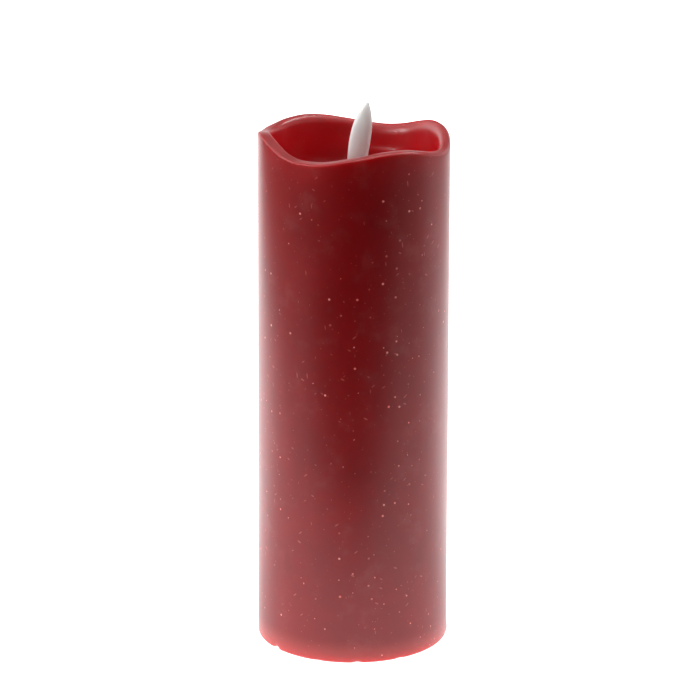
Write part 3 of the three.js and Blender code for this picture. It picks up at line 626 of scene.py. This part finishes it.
WAX = make_wax()
FLAME = make_flame_white()
RED_CAP = moulded("cap red", (0.2, 0.004, 0.007), 0.42, grain=0.5, depth=0.015, Subsurface_Weight=0.3)
WHITE = moulded("module white", (0.74, 0.72, 0.66), 0.45, grain=0.6)
BASE = moulded("base off-white", (0.7, 0.67, 0.59), 0.5, grain=0.5, depth=0.03)
BLACK = moulded("black plastic", (0.018, 0.018, 0.02), 0.42, grain=0.5)
STEEL = moulded("plated steel", (0.6, 0.6, 0.61), 0.38, grain=0.8, depth=0.008, cloud=5, metallic=1.0)
NICKEL = moulded("nickel", (0.7, 0.67, 0.62), 0.2, grain=1.2, depth=0.006, cloud=5, metallic=1.0)
COPPER = make_winding()
BOARD = make_board()
LENS = moulded("lamp lens", (0.9, 0.8, 0.5), 0.12, grain=2.0, depth=0.004, Transmission_Weight=0.75)
SLEEVE = moulded("capacitor sleeve", (0.012, 0.02, 0.06), 0.38, grain=1.0, depth=0.01)
CELL_WRAP = make_cell_wrap()
RED_LEAD = moulded("red insulation", (0.42, 0.01, 0.01), 0.4, grain=0.8, depth=0.02)
BLACK_LEAD = moulded("black insulation", (0.014, 0.014, 0.014), 0.4, grain=0.8, depth=0.02)

BY_SLOT = {
    "wax": WAX,
    "flame_plastic": FLAME,
    "cap_plastic": RED_CAP,
    "white_plastic": WHITE,
    "base_plastic": BASE,
    "black_plastic": BLACK,
    "steel": STEEL,
    "nickel": NICKEL,
    "copper": COPPER,
    "circuit_board": BOARD,
    "lamp_lens": LENS,
    "capacitor_sleeve": SLEEVE,
    "cell_wrap": CELL_WRAP,
    "red_lead": RED_LEAD,
    "black_lead": BLACK_LEAD,
}
SLOT_OF = {part["node"]: part["material_slot"] for part in frame["record"]["subparts"]}

# ---- Wax pillar ---------------------------------------------------------------------------------------

BORE = 32.0
POOL_FLOOR = 183.5
POOL_UNDERSIDE = 178.8
POOL_HOLE = 13.9
# Crests and dips of the rim: (degrees round from +X, height).
RIM_WAVE = [
    (20, 207.3),
    (72, 200.7),
    (128, 205.4),
    (158, 205.0),
    (193, 208.3),
    (234, 203.6),
    (297, 208.7),
    (343, 203.5),
]


def rim_height(degrees):
    """Height of the rim at an angle: an eased run from each crest or dip to the next."""
    for (start, low), (end, high) in zip(RIM_WAVE, RIM_WAVE[1:] + RIM_WAVE[:1]):
        span = (end - start) % 360
        along = (degrees - start) % 360
        if along < span:
            return low + (high - low) * (1 - math.cos(math.pi * along / span)) / 2
    return RIM_WAVE[0][1]


LIP_SOFTEST = 50  # degrees
LIP_INSIDE = 32.6
LIP_DEPTH = 3
OUTSIDE_FROM = 36  # the radius past which a point is on the outside
NICKED_BELOW = 1


def melted(degrees):
    """How round the lip has melted: 0 at the crisp front, 1 at the soft back and right."""
    return 0.5 + 0.5 * math.cos(math.radians(degrees - LIP_SOFTEST))


def lip_profile(rim, melt):
    """The lip at one angle: a small outer round, and a larger inner one that reaches further down."""
    outer = 0.7 + 2.0 * melt
    across = 1.0 + 2.4 * melt
    down = 1.0 + 4.6 * melt
    points = []
    for step in range(5):
        turn = math.pi / 2 * step / 4
        r = RADIUS - outer * (1 - math.cos(turn))
        points.append((r, rim - outer * (1 - math.sin(turn)), 0.2 - 0.04 * step, 0.25 * step))
    for step in range(5):
        turn = math.pi / 2 * step / 4
        r = LIP_INSIDE + across * (1 - math.sin(turn))
        points.append((r, rim - down * (1 - math.cos(turn)), 0.2 * step, 1))
    return points + [(32.1, rim - down - 4, 1, 1)]


def wax_profile(rim, melt):
    """The wall's outline at one angle: (radius, height, how strongly a glow is painted where light comes
    through, inside or not).

    It runs from the foot's inner edge out, up the wall, over the lip, down into the pool and down the bore.
    """
    foot = [
        (BORE, 0, 0.5, 1),
        (BORE + 0.5, 0, 0.5, 1),
        (36.6, 0, 0.6, 0),
        (37.3, 0.06, 0.6, 0),
        (37.48, 0.45, 0.6, 0),
        (RADIUS, 1.6, 0.4, 0),
        (RADIUS, 4.5, 0.12, 0),
        (RADIUS, 9, 0, 0),
    ]
    wall = [(RADIUS, z, 0, 0) for z in (20, 45, 75, 105, 135, 160, 180)]
    wall += [(RADIUS, rim - 14, 0.05, 0), (RADIUS, rim - 9, 0.15, 0), (RADIUS, rim - 5, 0.3, 0)]
    pool = [
        (31.7, POOL_FLOOR + 8, 0.95, 1),
        (31.1, POOL_FLOOR + 3.6, 0.7, 1),
        (30, POOL_FLOOR + 1.4, 0.4, 1),
        (27.6, POOL_FLOOR + 0.3, 0.25, 1),
        (24, POOL_FLOOR, 0.15, 1),
        (18, POOL_FLOOR, 0.1, 1),
        (POOL_HOLE + 0.3, POOL_FLOOR, 0.1, 1),
        (POOL_HOLE, POOL_FLOOR - 0.3, 0, 1),
    ]
    underside = [
        (POOL_HOLE, POOL_UNDERSIDE + 0.3, 0, 1),
        (POOL_HOLE + 0.3, POOL_UNDERSIDE, 0, 1),
        (24, POOL_UNDERSIDE, 0, 1),
        (BORE - 0.5, POOL_UNDERSIDE, 0, 1),
        (BORE, POOL_UNDERSIDE - 0.5, 0, 1),
    ]
    bore = [(BORE, z, 0, 1) for z in (150, 100, 50, 10, 0.8)]
    return foot + wall + lip_profile(rim, melt) + pool + underside + bore


BURR_AT = 357  # degrees
BURR_Z = 2
BURR_HEIGHT = 0.55
BURR_HALF_ROUND = 2.6  # degrees
BURR_HALF_UP = 3
# Nicks in the foot's edge: (degrees, half width in degrees, depth in millimetres).
FOOT_NICKS = [
    (215.5, 2.4, 1.1),
    (273, 2.0, 0.6),
    (300, 3.0, 0.35),
    (248, 1.8, 0.3),
    (120, 3, 0.8),
    (20, 2.5, 0.6),
]


def apart(degrees, other):
    """How far one angle is past another, from -180 to 180."""
    return (degrees - other + 180) % 360 - 180


def nick_depth(degrees):
    depth = 0
    for centre, half, deepest in FOOT_NICKS:
        away = abs(apart(degrees, centre)) / half
        if away < 1:
            depth += deepest * (1 - away * away)
    return depth


def burr(degrees, z):
    """How far the burr at the foot stands out."""
    round_it = apart(degrees, BURR_AT) / BURR_HALF_ROUND
    return BURR_HEIGHT * max(0, 1 - math.hypot(round_it, (z - BURR_Z) / BURR_HALF_UP))


def lump(angle, z, size, seed):
    """A soft random offset from -1 to 1 that closes on itself round the candle."""
    at = Vector((math.cos(angle) * RADIUS / size, math.sin(angle) * RADIUS / size, z / size + seed))
    return noise.noise(at)


def make_wax_pillar():
    """The hollow pillar: the wall's outline carried round, uneven outside and lumpy in the pool."""
    around = 120
    points, faces, lit, inside = [], [], [], []
    for i in range(around):
        degrees = 360 * i / around
        angle = math.radians(degrees)
        rim = rim_height(degrees) + 0.22 * lump(angle, 0, 9, 3.1)
        nick = nick_depth(degrees)
        for r, z, light, within in wax_profile(rim, melted(degrees)):
            outside = r > OUTSIDE_FROM and z < rim - LIP_DEPTH
            if r > OUTSIDE_FROM and z < NICKED_BELOW:
                r -= nick
                z += 0.8 * nick
            if outside:
                r += 0.09 * lump(angle, z, 26, 0) + 0.03 * lump(angle, z, 8, 7)
                r += burr(degrees, z)
            elif z > POOL_FLOOR - 1:
                r += 0.16 * lump(angle, z, 10, 5)
                z += 0.12 * lump(angle, r, 7, 9) if z > POOL_FLOOR + 0.1 else 0
            points.append((r * math.cos(angle), r * math.sin(angle), z))
            lit.append(light)
            inside.append(within)
    rows = len(points) // around
    for i in range(around):
        here, following = i * rows, (i + 1) % around * rows
        for j in range(rows):
            up = (j + 1) % rows
            faces.append((here + j, following + j, following + up, here + up))
    piece = mesh_piece("wax_pillar", points, faces)
    # The lit values carry the painted glow into the wax's colour.
    for name, values in (("lit", lit), ("inside", inside)):
        piece.data.attributes.new(name, "FLOAT", "POINT").data.foreach_set("value", values)
    return rounded(piece, 2)


stand_for(make_wax_pillar(), "wax_shell")

# ---- Flame leaf ---------------------------------------------------------------------------------------

PIVOT_Z = 181.6
LEAN = math.radians(8)
HANGING = Matrix.Translation((0, 0, PIVOT_Z)) @ Matrix.Rotation(LEAN, 4, "Y")
LEAF_LENGTH = 38.2
LEAF_BOW = 0.9
LEAF_FLATNESS = 0.55
# Half the leaf's width at heights above the pivot.
LEAF_EDGE = [
    (2.2, 2.0),
    (6, 2.85),
    (11, 3.6),
    (16, 4.05),
    (21, 4.25),
    (26, 4.1),
    (30, 3.6),
    (33, 2.75),
    (35.6, 1.7),
    (37.2, 0.85),
    (38.1, 0.3),
]


def make_leaf():
    sides = 16
    points, faces = [], []
    for z, half in LEAF_EDGE:
        bow = -LEAF_BOW * math.sin(math.pi * z / LEAF_LENGTH)
        for j in range(sides):
            a = 2 * math.pi * j / sides
            across, along = half * math.cos(a), half * LEAF_FLATNESS * math.sin(a)
            points.append(HANGING @ Vector((bow + across, along, z)))
    for i in range(len(LEAF_EDGE) - 1):
        for j in range(sides):
            a, b = i * sides + j, i * sides + (j + 1) % sides
            faces.append((a, b, b + sides, a + sides))
    foot, tip = len(points), len(points) + 1
    points.append(HANGING @ Vector((0, 0, LEAF_EDGE[0][0])))
    points.append(HANGING @ Vector((0, 0, LEAF_LENGTH)))
    last = (len(LEAF_EDGE) - 1) * sides
    for j in range(sides):
        faces.append((foot, (j + 1) % sides, j))
        faces.append((tip, last + j, last + (j + 1) % sides))
    return rounded(mesh_piece("flame_leaf", points, faces), 2)


stand_for(make_leaf(), "flame")

WIRE_RADIUS = 0.3
WIRE_SAG = 1.3
NECK_HOLE = 1.1
NECK_HOLE_Z = -WIRE_SAG + WIRE_RADIUS + 0.3 - NECK_HOLE
STEM_FOOT = -18.5
MAGNET_OFFSET = 1.65
ON_EDGE = Matrix.Rotation(math.pi / 2, 4, "X")


def make_stem():
    """The leaf's thin neck with the wire's hole through it, the flat stem and the magnet's plate."""
    neck = settle(prism("flame_stem", box_outline(2.2, 2.8, 0, 0.4), -0.6, 0.6), ON_EDGE)
    stem = prism("stem", box_outline(2, 1.2), STEM_FOOT, -2.3)
    plate = prism("plate", round_outline(4.6, MAGNET_OFFSET, 0, 48), STEM_FOOT - 1, STEM_FOOT + 0.01)
    hole = settle(prism("hole", round_outline(NECK_HOLE, 0, NECK_HOLE_Z), -2, 2), ON_EDGE)
    fuse(neck, stem, plate)
    cut_away(neck, hole)
    return eased(settle(neck, HANGING), 0.22, segments=3)


def make_magnet():
    top = STEM_FOOT - 1.3
    profile = [(0, top), (3.6, top), (3.88, top - 0.1), (4, top - 0.35), (4, top - 2.25), (3.88, top - 2.5)]
    profile += [(3.6, top - 2.6), (0, top - 2.6)]
    return settle(turned("flame_magnet_disc", profile), HANGING @ Matrix.Translation((MAGNET_OFFSET, 0, 0)))


def make_flame_wire():
    """The bent wire: straight ends on the swing axis, and a sagging middle that the leaf hangs on."""
    side = [(5.7, 0), (3.8, 0), (2.6, -WIRE_SAG * 0.22), (0.9, -WIRE_SAG * 0.84)]
    points = [(0, -y, z) for y, z in side] + [(0, 0, -WIRE_SAG)] + [(0, y, z) for y, z in reversed(side)]
    return wire_along("flame_hinge_wire", [HANGING @ Vector(point) for point in points], WIRE_RADIUS)


stand_for(make_stem(), "flame")
stand_for(make_magnet(), "flame_magnet")
stand_for(make_flame_wire(), "flame_wire")

# ---- Pool cap and module ------------------------------------------------------------------------------

MODULE_TOP = 178.5
CAP_RADIUS = 16.5
CAP_BARREL = 13.5
CAP_SCREWS = [(9.8 * math.cos(math.radians(a)), 9.8 * math.sin(math.radians(a))) for a in (30, 150, 270)]
LAMP_TILT = math.radians(20)
LAMP_TIP = Vector((0, 8.3, 180.6))
LAMP_PLACE = Matrix.Translation(LAMP_TIP) @ Matrix.Rotation(LAMP_TILT, 4, "X")


def make_pool_cap():
    """The red cap in the pool: dished, rolled at its edge, with a raised lip round the flame's slot."""
    floor, bottom = POOL_FLOOR, MODULE_TOP + 0.3
    dish = [(0, 0.6), (8, 0.7), (11, 0.95), (13.5, 1.3), (15.2, 1.42), (15.9, 1.36), (16.35, 1.12)]
    dish += [(CAP_RADIUS, 0.8), (CAP_RADIUS, 0.45), (16.35, 0.3), (CAP_BARREL, 0.3)]
    profile = [(r, floor + rise) for r, rise in dish]
    profile += [(CAP_BARREL, bottom), (12.2, bottom), (12.2, floor - 1), (0, floor - 1)]
    cap = settle(turned("pool_cap_red", profile, steps=96))
    lip = prism("lip", stadium_outline(3.2, 3.4), floor - 0.5, floor + 1.0)
    bosses = [prism("boss", round_outline(2.2, x, y, 24), bottom, floor - 0.5) for x, y in CAP_SCREWS]
    pilots = [prism("pilot", round_outline(1.15, x, y, 16), bottom - 1, bottom + 3.6) for x, y in CAP_SCREWS]
    slot = prism("slot", stadium_outline(3.2, 2.6), floor - 2, floor + 2)
    rim = settle(prism("rim", round_outline(2.9), -1.2, 4.15), LAMP_PLACE)
    window = settle(prism("window", round_outline(2.2), -3, 6), LAMP_PLACE)
    fuse(cap, lip, rim, *bosses)
    cut_away(cap, slot, window, *pilots)
    return eased(cap, 0.14, angle=28)


def make_lamp():
    """A clear 3 mm lamp: dome, straight sides and the flange at its foot."""
    radius = 1.5
    turns = [math.pi / 2 * (1 - i / 8) for i in range(1, 9)]
    dome = [(radius * math.cos(a), radius * math.sin(a) - radius) for a in turns]
    profile = [(0, 0)] + dome + [(radius, -4.6), (1.9, -4.65), (1.9, -5.5), (1.8, -5.6), (0, -5.6)]
    return settle(turned("lamp_lens", profile, steps=40), LAMP_PLACE)


def make_leg(name, x):
    """A lamp leg: straight out of the lamp, then down to the board."""
    out = [LAMP_PLACE @ Vector((x, 0, -distance)) for distance in (5.9, 8.2)]
    return wire_along(name, out + [(x, 11.6, z) for z in (171, 162, 150.5)], 0.28)


COIL_FOOT = 150.5
COIL_TOP = 157.4


def make_bobbin():
    low, high = COIL_FOOT, COIL_TOP
    profile = [(1.5, high), (7.35, high), (7.5, high - 0.15), (7.5, high - 0.65), (7.35, high - 0.8)]
    profile += [(2.6, high - 0.8), (2.6, low + 0.8), (7.35, low + 0.8), (7.5, low + 0.65), (7.5, low + 0.15)]
    profile += [(7.35, low), (1.5, low)]
    return turned("bobbin", profile, closed=True)


def make_winding_turns():
    """The coil's outer layer, one ridge for each turn of the wire."""
    low, high, turns = COIL_FOOT + 1.1, COIL_TOP - 1.1, 14
    pitch = (high - low) / turns
    ridge = [(6.72, 0), (6.88, 0.25), (6.9, 0.5), (6.88, 0.75)]
    profile = [(2.9, high)]
    for i in range(turns):
        top = high - i * pitch
        profile += [(r, top - down * pitch) for r, down in ridge]
    profile += [(6.72, low), (2.9, low)]
    return turned("winding_turns", profile, closed=True)


def make_capacitor():
    foot = COIL_FOOT
    profile = [(0, foot + 6), (1.9, foot + 6), (2.35, foot + 5.85), (2.5, foot + 5.5), (2.5, foot + 1.5)]
    profile += [(2.3, foot + 1.2), (2.5, foot + 0.9), (2.5, foot + 0.1), (2.4, foot), (0, foot)]
    return settle(turned("capacitor_can", profile, steps=40), Matrix.Translation((11, -5, 0)))


def make_screw(name, shank_radius, shank, head_radius, head_height, place):
    """A pan-head screw with a cross recess and a ridged shank. Its tip is at its own origin."""
    top = shank + head_height
    profile = [(0, top), (0.5 * head_radius, top), (0.8 * head_radius, top - 0.12 * head_height)]
    profile += [(0.95 * head_radius, top - 0.32 * head_height), (head_radius, shank + 0.4 * head_height)]
    profile += [(head_radius, shank), (shank_radius, shank)]
    pitch, height = 0.7, shank - 0.5
    while height > 2 * shank_radius:
        profile += [(shank_radius, height), (0.76 * shank_radius, height - pitch / 2)]
        height -= pitch
    profile += [(0.7 * shank_radius, 1.4 * shank_radius), (0.2 * shank_radius, 0), (0, 0)]
    screw = settle(turned(name, profile, steps=32))
    arm, half = 0.55 * head_radius, 0.13 * head_radius
    depth = 0.6 * head_height
    across = prism("recess", box_outline(arm, half), top - depth, top + 1)
    along = prism("recess", box_outline(half, arm), top - depth, top + 1)
    cut_away(screw, across, along)
    return eased(settle(screw, place), 0.05, angle=50)


stand_for(make_pool_cap(), "pool_cap")
stand_for(make_lamp(), "led")
stand_for(make_leg("lamp_leg_long", 1.27), "led_leg_long")
stand_for(make_leg("lamp_leg_short", -1.27), "led_leg_short")
stand_for(make_bobbin(), "coil_bobbin")
stand_for(make_winding_turns(), "coil_winding")
stand_for(make_capacitor(), "capacitor")
HEAD_DOWN = Matrix.Rotation(math.pi, 4, "X")
for number, (x, y) in enumerate(CAP_SCREWS, 1):
    place = Matrix.Translation((x, y, MODULE_TOP + 3)) @ HEAD_DOWN
    stand_for(make_screw(f"clamp_screw_{number}", 0.85, 4.6, 2.1, 1.3, place), f"module_screw_{number}")

# ---- Base ---------------------------------------------------------------------------------------------

BASE_FACE = 1.2
CELL_PITCH = 10.85
CELL_Z = 9
SWITCH_Y = -23.2
COVER_SCREWS = [(16.5, 23.4), (-16.5, 23.4), (18.6, -21.4), (-18.6, -21.4)]


def make_cell(number, side, y):
    """A cell lying along X, with its nub at that side: the nub, the wrapped can and the crimped ends."""
    nub = [(0, 23.4), (1.6, 23.4), (1.84, 23.32), (1.9, 23.05), (1.9, 22.2), (2.1, 22.02), (2.8, 22.0)]
    shoulder = [(4.4, 22.15), (4.85, 22.12), (5.1, 21.98), (5.2, 21.7)]
    crimp = [(5.2, -20.5), (5.12, -20.8), (4.9, -20.98), (4.6, -20.9), (4.35, -20.92)]
    flat_end = [(4.15, -21.1), (0, -21.1)]
    place = Matrix.Translation((0, y, CELL_Z)) @ Matrix.Rotation(side * math.pi / 2, 4, "Y")
    return settle(turned(f"cell_{number}_wrapped", nub + shoulder + crimp + flat_end), place)


def make_contact_spring(number, side, y):
    """A conical spring that pushes on a cell's flat end."""
    turns, steps = 2.5, 30
    points = []
    for i in range(steps + 1):
        t = i / steps
        turn, r = 2 * math.pi * turns * t, 3.6 - 1.5 * t
        points.append((side * (23.62 - 1.94 * t), y + r * math.cos(turn), CELL_Z + r * math.sin(turn)))
    return wire_along(f"cell_spring_{number}", points, 0.28)


def make_door_grip():
    """Rows of small ridges by the door's latch, for a thumb."""
    bar = prism("door_grip", box_outline(0.35, 6, 23.2, 0), BASE_FACE - 0.35, BASE_FACE + 0.2)
    rows = bar.modifiers.new("rows", "ARRAY")
    rows.use_relative_offset = False
    rows.use_constant_offset = True
    rows.constant_offset_displace = (-1.4 * MM, 0, 0)
    rows.count = 5
    return eased(bar, 0.22, segments=3)


def make_door_arrow():
    """A raised arrowhead that points to the latch."""
    outline = [(11.5, -3.2), (15, 0), (11.5, 3.2)]
    return eased(prism("door_arrow", outline, BASE_FACE - 0.4, BASE_FACE + 0.2), 0.14)


def make_switch_marks():
    """Raised marks for the switch's three places: a ring, a bar and a dot."""
    y = SWITCH_Y - 4.9
    low, high = BASE_FACE - 0.3, BASE_FACE + 0.2
    marks = prism("switch_marks", box_outline(0.22, 0.8, 0, y), low, high)
    ring = prism("ring", round_outline(0.85, -3.2, y), low, high)
    cut_away(ring, prism("eye", round_outline(0.45, -3.2, y), low - 1, high + 1))
    fuse(marks, ring, prism("dot", round_outline(0.45, 3.2, y), low, high))
    return eased(marks, 0.07)


for number, side in enumerate((1, -1, 1), 1):
    y = CELL_PITCH * (2 - number)
    stand_for(make_cell(number, side, y), f"cell_{number}")
    stand_for(make_contact_spring(number, -side, y), f"contact_spring_{number}")
for number, (x, y) in enumerate(COVER_SCREWS, 1):
    place = Matrix.Translation((x, y, 13.8))
    stand_for(make_screw(f"lid_screw_{number}", 0.9, 7.4, 2.3, 1.4, place), f"cover_screw_{number}")
for number, x in enumerate((-10.8, 10.8), 1):
    place = Matrix.Translation((x, SWITCH_Y, 6.8))
    stand_for(make_screw(f"board_screw_{number}", 0.75, 5.6, 1.8, 1.1, place), f"switch_screw_{number}")
add_to(make_door_grip(), "battery_door")
add_to(make_door_arrow(), "battery_door")
add_to(make_switch_marks(), "base_housing")

# ---- Leads --------------------------------------------------------------------------------------------

LEADS = {
    # switched feed: driver board to switch board
    "lead_positive": [
        (8, -9, 148.3),
        (8, -9, 143),
        (6.5, -10.5, 120),
        (9.5, -12, 90),
        (7, -10, 55),
        (8, -9, 30),
        (8, -9, 20.5),
        (7.6, -10.2, 17.6),
        (6.6, -17, 17.4),
        (5.8, -20.4, 15.8),
        (5.6, -20.8, 12.5),
    ],
    # return: driver board to the first cell's negative contact
    "lead_negative": [
        (10, -9, 148.3),
        (10, -9, 143),
        (12.5, -8, 118),
        (10.8, -9.5, 88),
        (13, -7.5, 56),
        (10, -9, 30),
        (10, -9, 20.5),
        (9, -7.4, 17.6),
        (0, 0, 17.3),
        (-14, 9.4, 17.2),
        (-23.7, CELL_PITCH, 16.7),
    ],
    # last cell's positive contact to the switch board
    "battery_lead": [
        (23.7, -CELL_PITCH, 16.7),
        (20, -13.6, 17.2),
        (13, -17.6, 17.2),
        (9.6, -20.4, 15.4),
        (9, -20.8, 12.5),
    ],
}
for name, route in LEADS.items():
    stand_for(wire_along(name + "_insulated", route, 0.7), name)

# ---- Everything else: the CAD's own shapes, with joined facets and eased edges ------------------------

EASES = {
    "base_housing": 0.3,
    "battery_door": 0.25,
    "module_body": 0.25,
    "module_lid": 0.25,
    "base_cover": 0.3,
    "switch_knob": 0.18,
    "driver_board": 0.08,
    "switch_board": 0.08,
}
SMALL_EASE = 0.1
for name in sorted(nodes):
    if not nodes[name].hide_render:
        stand_for(fine_copy(name, EASES.get(name, SMALL_EASE)), name)

# ---- Camera, light and floor --------------------------------------------------------------------------

TARGET = Vector((-1.32, 0, 117.5)) * MM
DISTANCE = 2.314
PITCH = math.radians(18.86)
ROLL = math.radians(0.183)

camera = put_in_scene("camera", bpy.data.cameras.new("camera"))
camera.data.lens = 302.6
camera.data.sensor_width = 36
camera.data.clip_start = 0.1
camera.data.clip_end = 20
camera.location = TARGET + Vector((0, -math.cos(PITCH), math.sin(PITCH))) * DISTANCE
tilt = Matrix.Rotation(math.pi / 2 - PITCH, 3, "X")
camera.rotation_euler = (tilt @ Matrix.Rotation(ROLL, 3, "Z")).to_euler()
bpy.context.scene.camera = camera


FLOOR_HALF = 1600
FLOOR_Z = -0.4
# The table's glow, which reflections see: by the candle, far from it, and behind it.
FLOOR_NEAR = 1.55
FLOOR_FAR = 0.3
FLOOR_BACK = 2.3
# Where that glow starts and where it is full, in metres: from the front, and from the left. Its front
# edge comes nearer the viewer by this much for each metre to the right and to the left.
GLOW_FRONT = (-0.26, -0.10)
GLOW_LEFT = (-0.52, -0.30)
SLANT_RIGHT = 0.30
SLANT_LEFT = 0.17
# How far from the candle the near glow reaches, and where each glow turns into the one behind.
GLOW_REACH = 0.75
FAR_TO_BACK = (-0.16, 0.14)
NEAR_TO_BACK = (0.0, 0.14)
# The far glow fades to the right: over these metres, from this share to that.
RIGHT_FADE = (0.1, 0.5, 1.0, 0.25)
CLEAR_UNDER = 0.0362  # the radius of the clear disc under the candle, in metres


def make_floor():
    """A pale table lit from within: evenly white to look at, and dark towards the viewer in reflections.

    It is clear from below, so that it doesn't hide the underside, and clear under the candle, so that it
    doesn't shine up into the foot.
    """
    corners = [(x, y, FLOOR_Z) for x, y in box_outline(FLOOR_HALF, FLOOR_HALF)]
    floor = mesh_piece("floor", corners, [(0, 1, 2, 3)])
    material = bpy.data.materials.new("pale floor")
    material.use_nodes = True
    tree = material.node_tree
    tree.nodes.clear()
    place = tree.nodes.new("ShaderNodeTexCoord").outputs["Object"]
    x, y = node(tree, "ShaderNodeSeparateXYZ", Vector=place).outputs[:2]
    rightward = maths(tree, "MAXIMUM", x, 0.0)
    leftward = maths(tree, "MAXIMUM", maths(tree, "MULTIPLY", x, -1.0), 0.0)
    slant = maths(tree, "MULTIPLY", rightward, SLANT_RIGHT)
    slant = maths(tree, "ADD", slant, maths(tree, "MULTIPLY", leftward, SLANT_LEFT))
    lit = ramp_between(tree, maths(tree, "ADD", y, slant), *GLOW_FRONT)
    lit = maths(tree, "MULTIPLY", lit, ramp_between(tree, x, *GLOW_LEFT))
    away = node(tree, "ShaderNodeVectorMath", {"operation": "LENGTH"})
    tree.links.new(place, away.inputs[0])
    near = ramp_between(tree, away.outputs["Value"], GLOW_REACH, 0.0)
    far_glow = ramp_between(tree, y, *FAR_TO_BACK, FLOOR_FAR, FLOOR_BACK)
    far_glow = maths(tree, "MULTIPLY", far_glow, ramp_between(tree, x, *RIGHT_FADE))
    near_glow = ramp_between(tree, y, *NEAR_TO_BACK, FLOOR_NEAR, FLOOR_BACK)
    spread = node(tree, "ShaderNodeMapRange", Value=near)
    tree.links.new(far_glow, spread.inputs["To Min"])
    tree.links.new(near_glow, spread.inputs["To Max"])
    glow = maths(tree, "MULTIPLY", lit, spread.outputs["Result"])
    seen = tree.nodes.new("ShaderNodeLightPath").outputs["Is Camera Ray"]
    glow = maths(tree, "MAXIMUM", glow, seen)
    light = node(tree, "ShaderNodeEmission", Color=(1, 1, 1, 1), Strength=glow)
    clear = tree.nodes.new("ShaderNodeBsdfTransparent")
    below = tree.nodes.new("ShaderNodeNewGeometry").outputs["Backfacing"]
    under = maths(tree, "LESS_THAN", away.outputs["Value"], CLEAR_UNDER)
    both = tree.nodes.new("ShaderNodeMixShader")
    tree.links.new(maths(tree, "MAXIMUM", below, under), both.inputs[0])
    tree.links.new(light.outputs[0], both.inputs[1])
    tree.links.new(clear.outputs[0], both.inputs[2])
    tree.links.new(both.outputs[0], tree.nodes.new("ShaderNodeOutputMaterial").inputs[0])
    wear(floor, material)


# Each light of the surroundings grows along one axis of the direction: where it starts, where it is
# full, and its strength there.
LEFT_SCREEN = (-0.2, -0.8, 1.05)
RIGHT_SCREEN = (0.2, 0.8, 0.08)
TOP_LIGHT = (0.45, 1.0, 1.1)
UNDER_LIGHT = (-0.25, -0.8, 0.5)
# The backdrop grows along Y. It goes from dim high up to bright low down.
BACKDROP = (-0.55, 0.75)
BACKDROP_RISE = (0.32, 0.12, 0.25, 1.1)
# Round lamps: (way to it, degrees from its middle to its edge, strength).
LAMPS = [
    ((0.05, 0.05, 1.0), 17, 3.0),
    ((-0.84, -0.43, 0.34), 8, 10.0),
    ((-0.96, -0.12, 0.25), 8, 14.0),
    ((0.64, 0.34, 0.69), 10, 14.0),
    ((0.85, -0.2, 0.5), 34, 0.55),
]


def make_world():
    """Even white to look at. As light: a bright backdrop low behind the candle, a soft light overhead,
    a screen at the left and a faint one at the right, round lamps that make the lip's highlights, and
    some light from below for the underside.
    """
    world = bpy.data.worlds.new("studio")
    bpy.context.scene.world = world
    world.use_nodes = True
    tree = world.node_tree
    tree.nodes.clear()
    way = tree.nodes.new("ShaderNodeTexCoord").outputs["Generated"]
    x, y, z = node(tree, "ShaderNodeSeparateXYZ", Vector=way).outputs
    low = ramp_between(tree, z, *BACKDROP_RISE)
    total = maths(tree, "MULTIPLY", ramp_between(tree, y, *BACKDROP), low)
    sides = [(x, LEFT_SCREEN), (x, RIGHT_SCREEN), (z, TOP_LIGHT), (z, UNDER_LIGHT)]
    for part, (start, full, strength) in sides:
        total = maths(tree, "ADD", total, ramp_between(tree, part, start, full, 0.0, strength))
    for aim, reach, strength in LAMPS:
        toward = node(tree, "ShaderNodeVectorMath", {"operation": "DOT_PRODUCT"})
        tree.links.new(way, toward.inputs[0])
        toward.inputs[1].default_value = Vector(aim).normalized()
        edge, core = math.cos(math.radians(reach)), math.cos(math.radians(0.6 * reach))
        lamp = ramp_between(tree, toward.outputs["Value"], edge, core, 0.0, strength)
        total = maths(tree, "ADD", total, lamp)
    seen = tree.nodes.new("ShaderNodeLightPath").outputs["Is Camera Ray"]
    total = maths(tree, "MAXIMUM", total, seen)
    light = node(tree, "ShaderNodeBackground", Color=(1, 1, 1, 1), Strength=total)
    tree.links.new(light.outputs[0], tree.nodes.new("ShaderNodeOutputWorld").inputs[0])


make_floor()
make_world()
bpy.context.scene.view_settings.view_transform = "Standard"
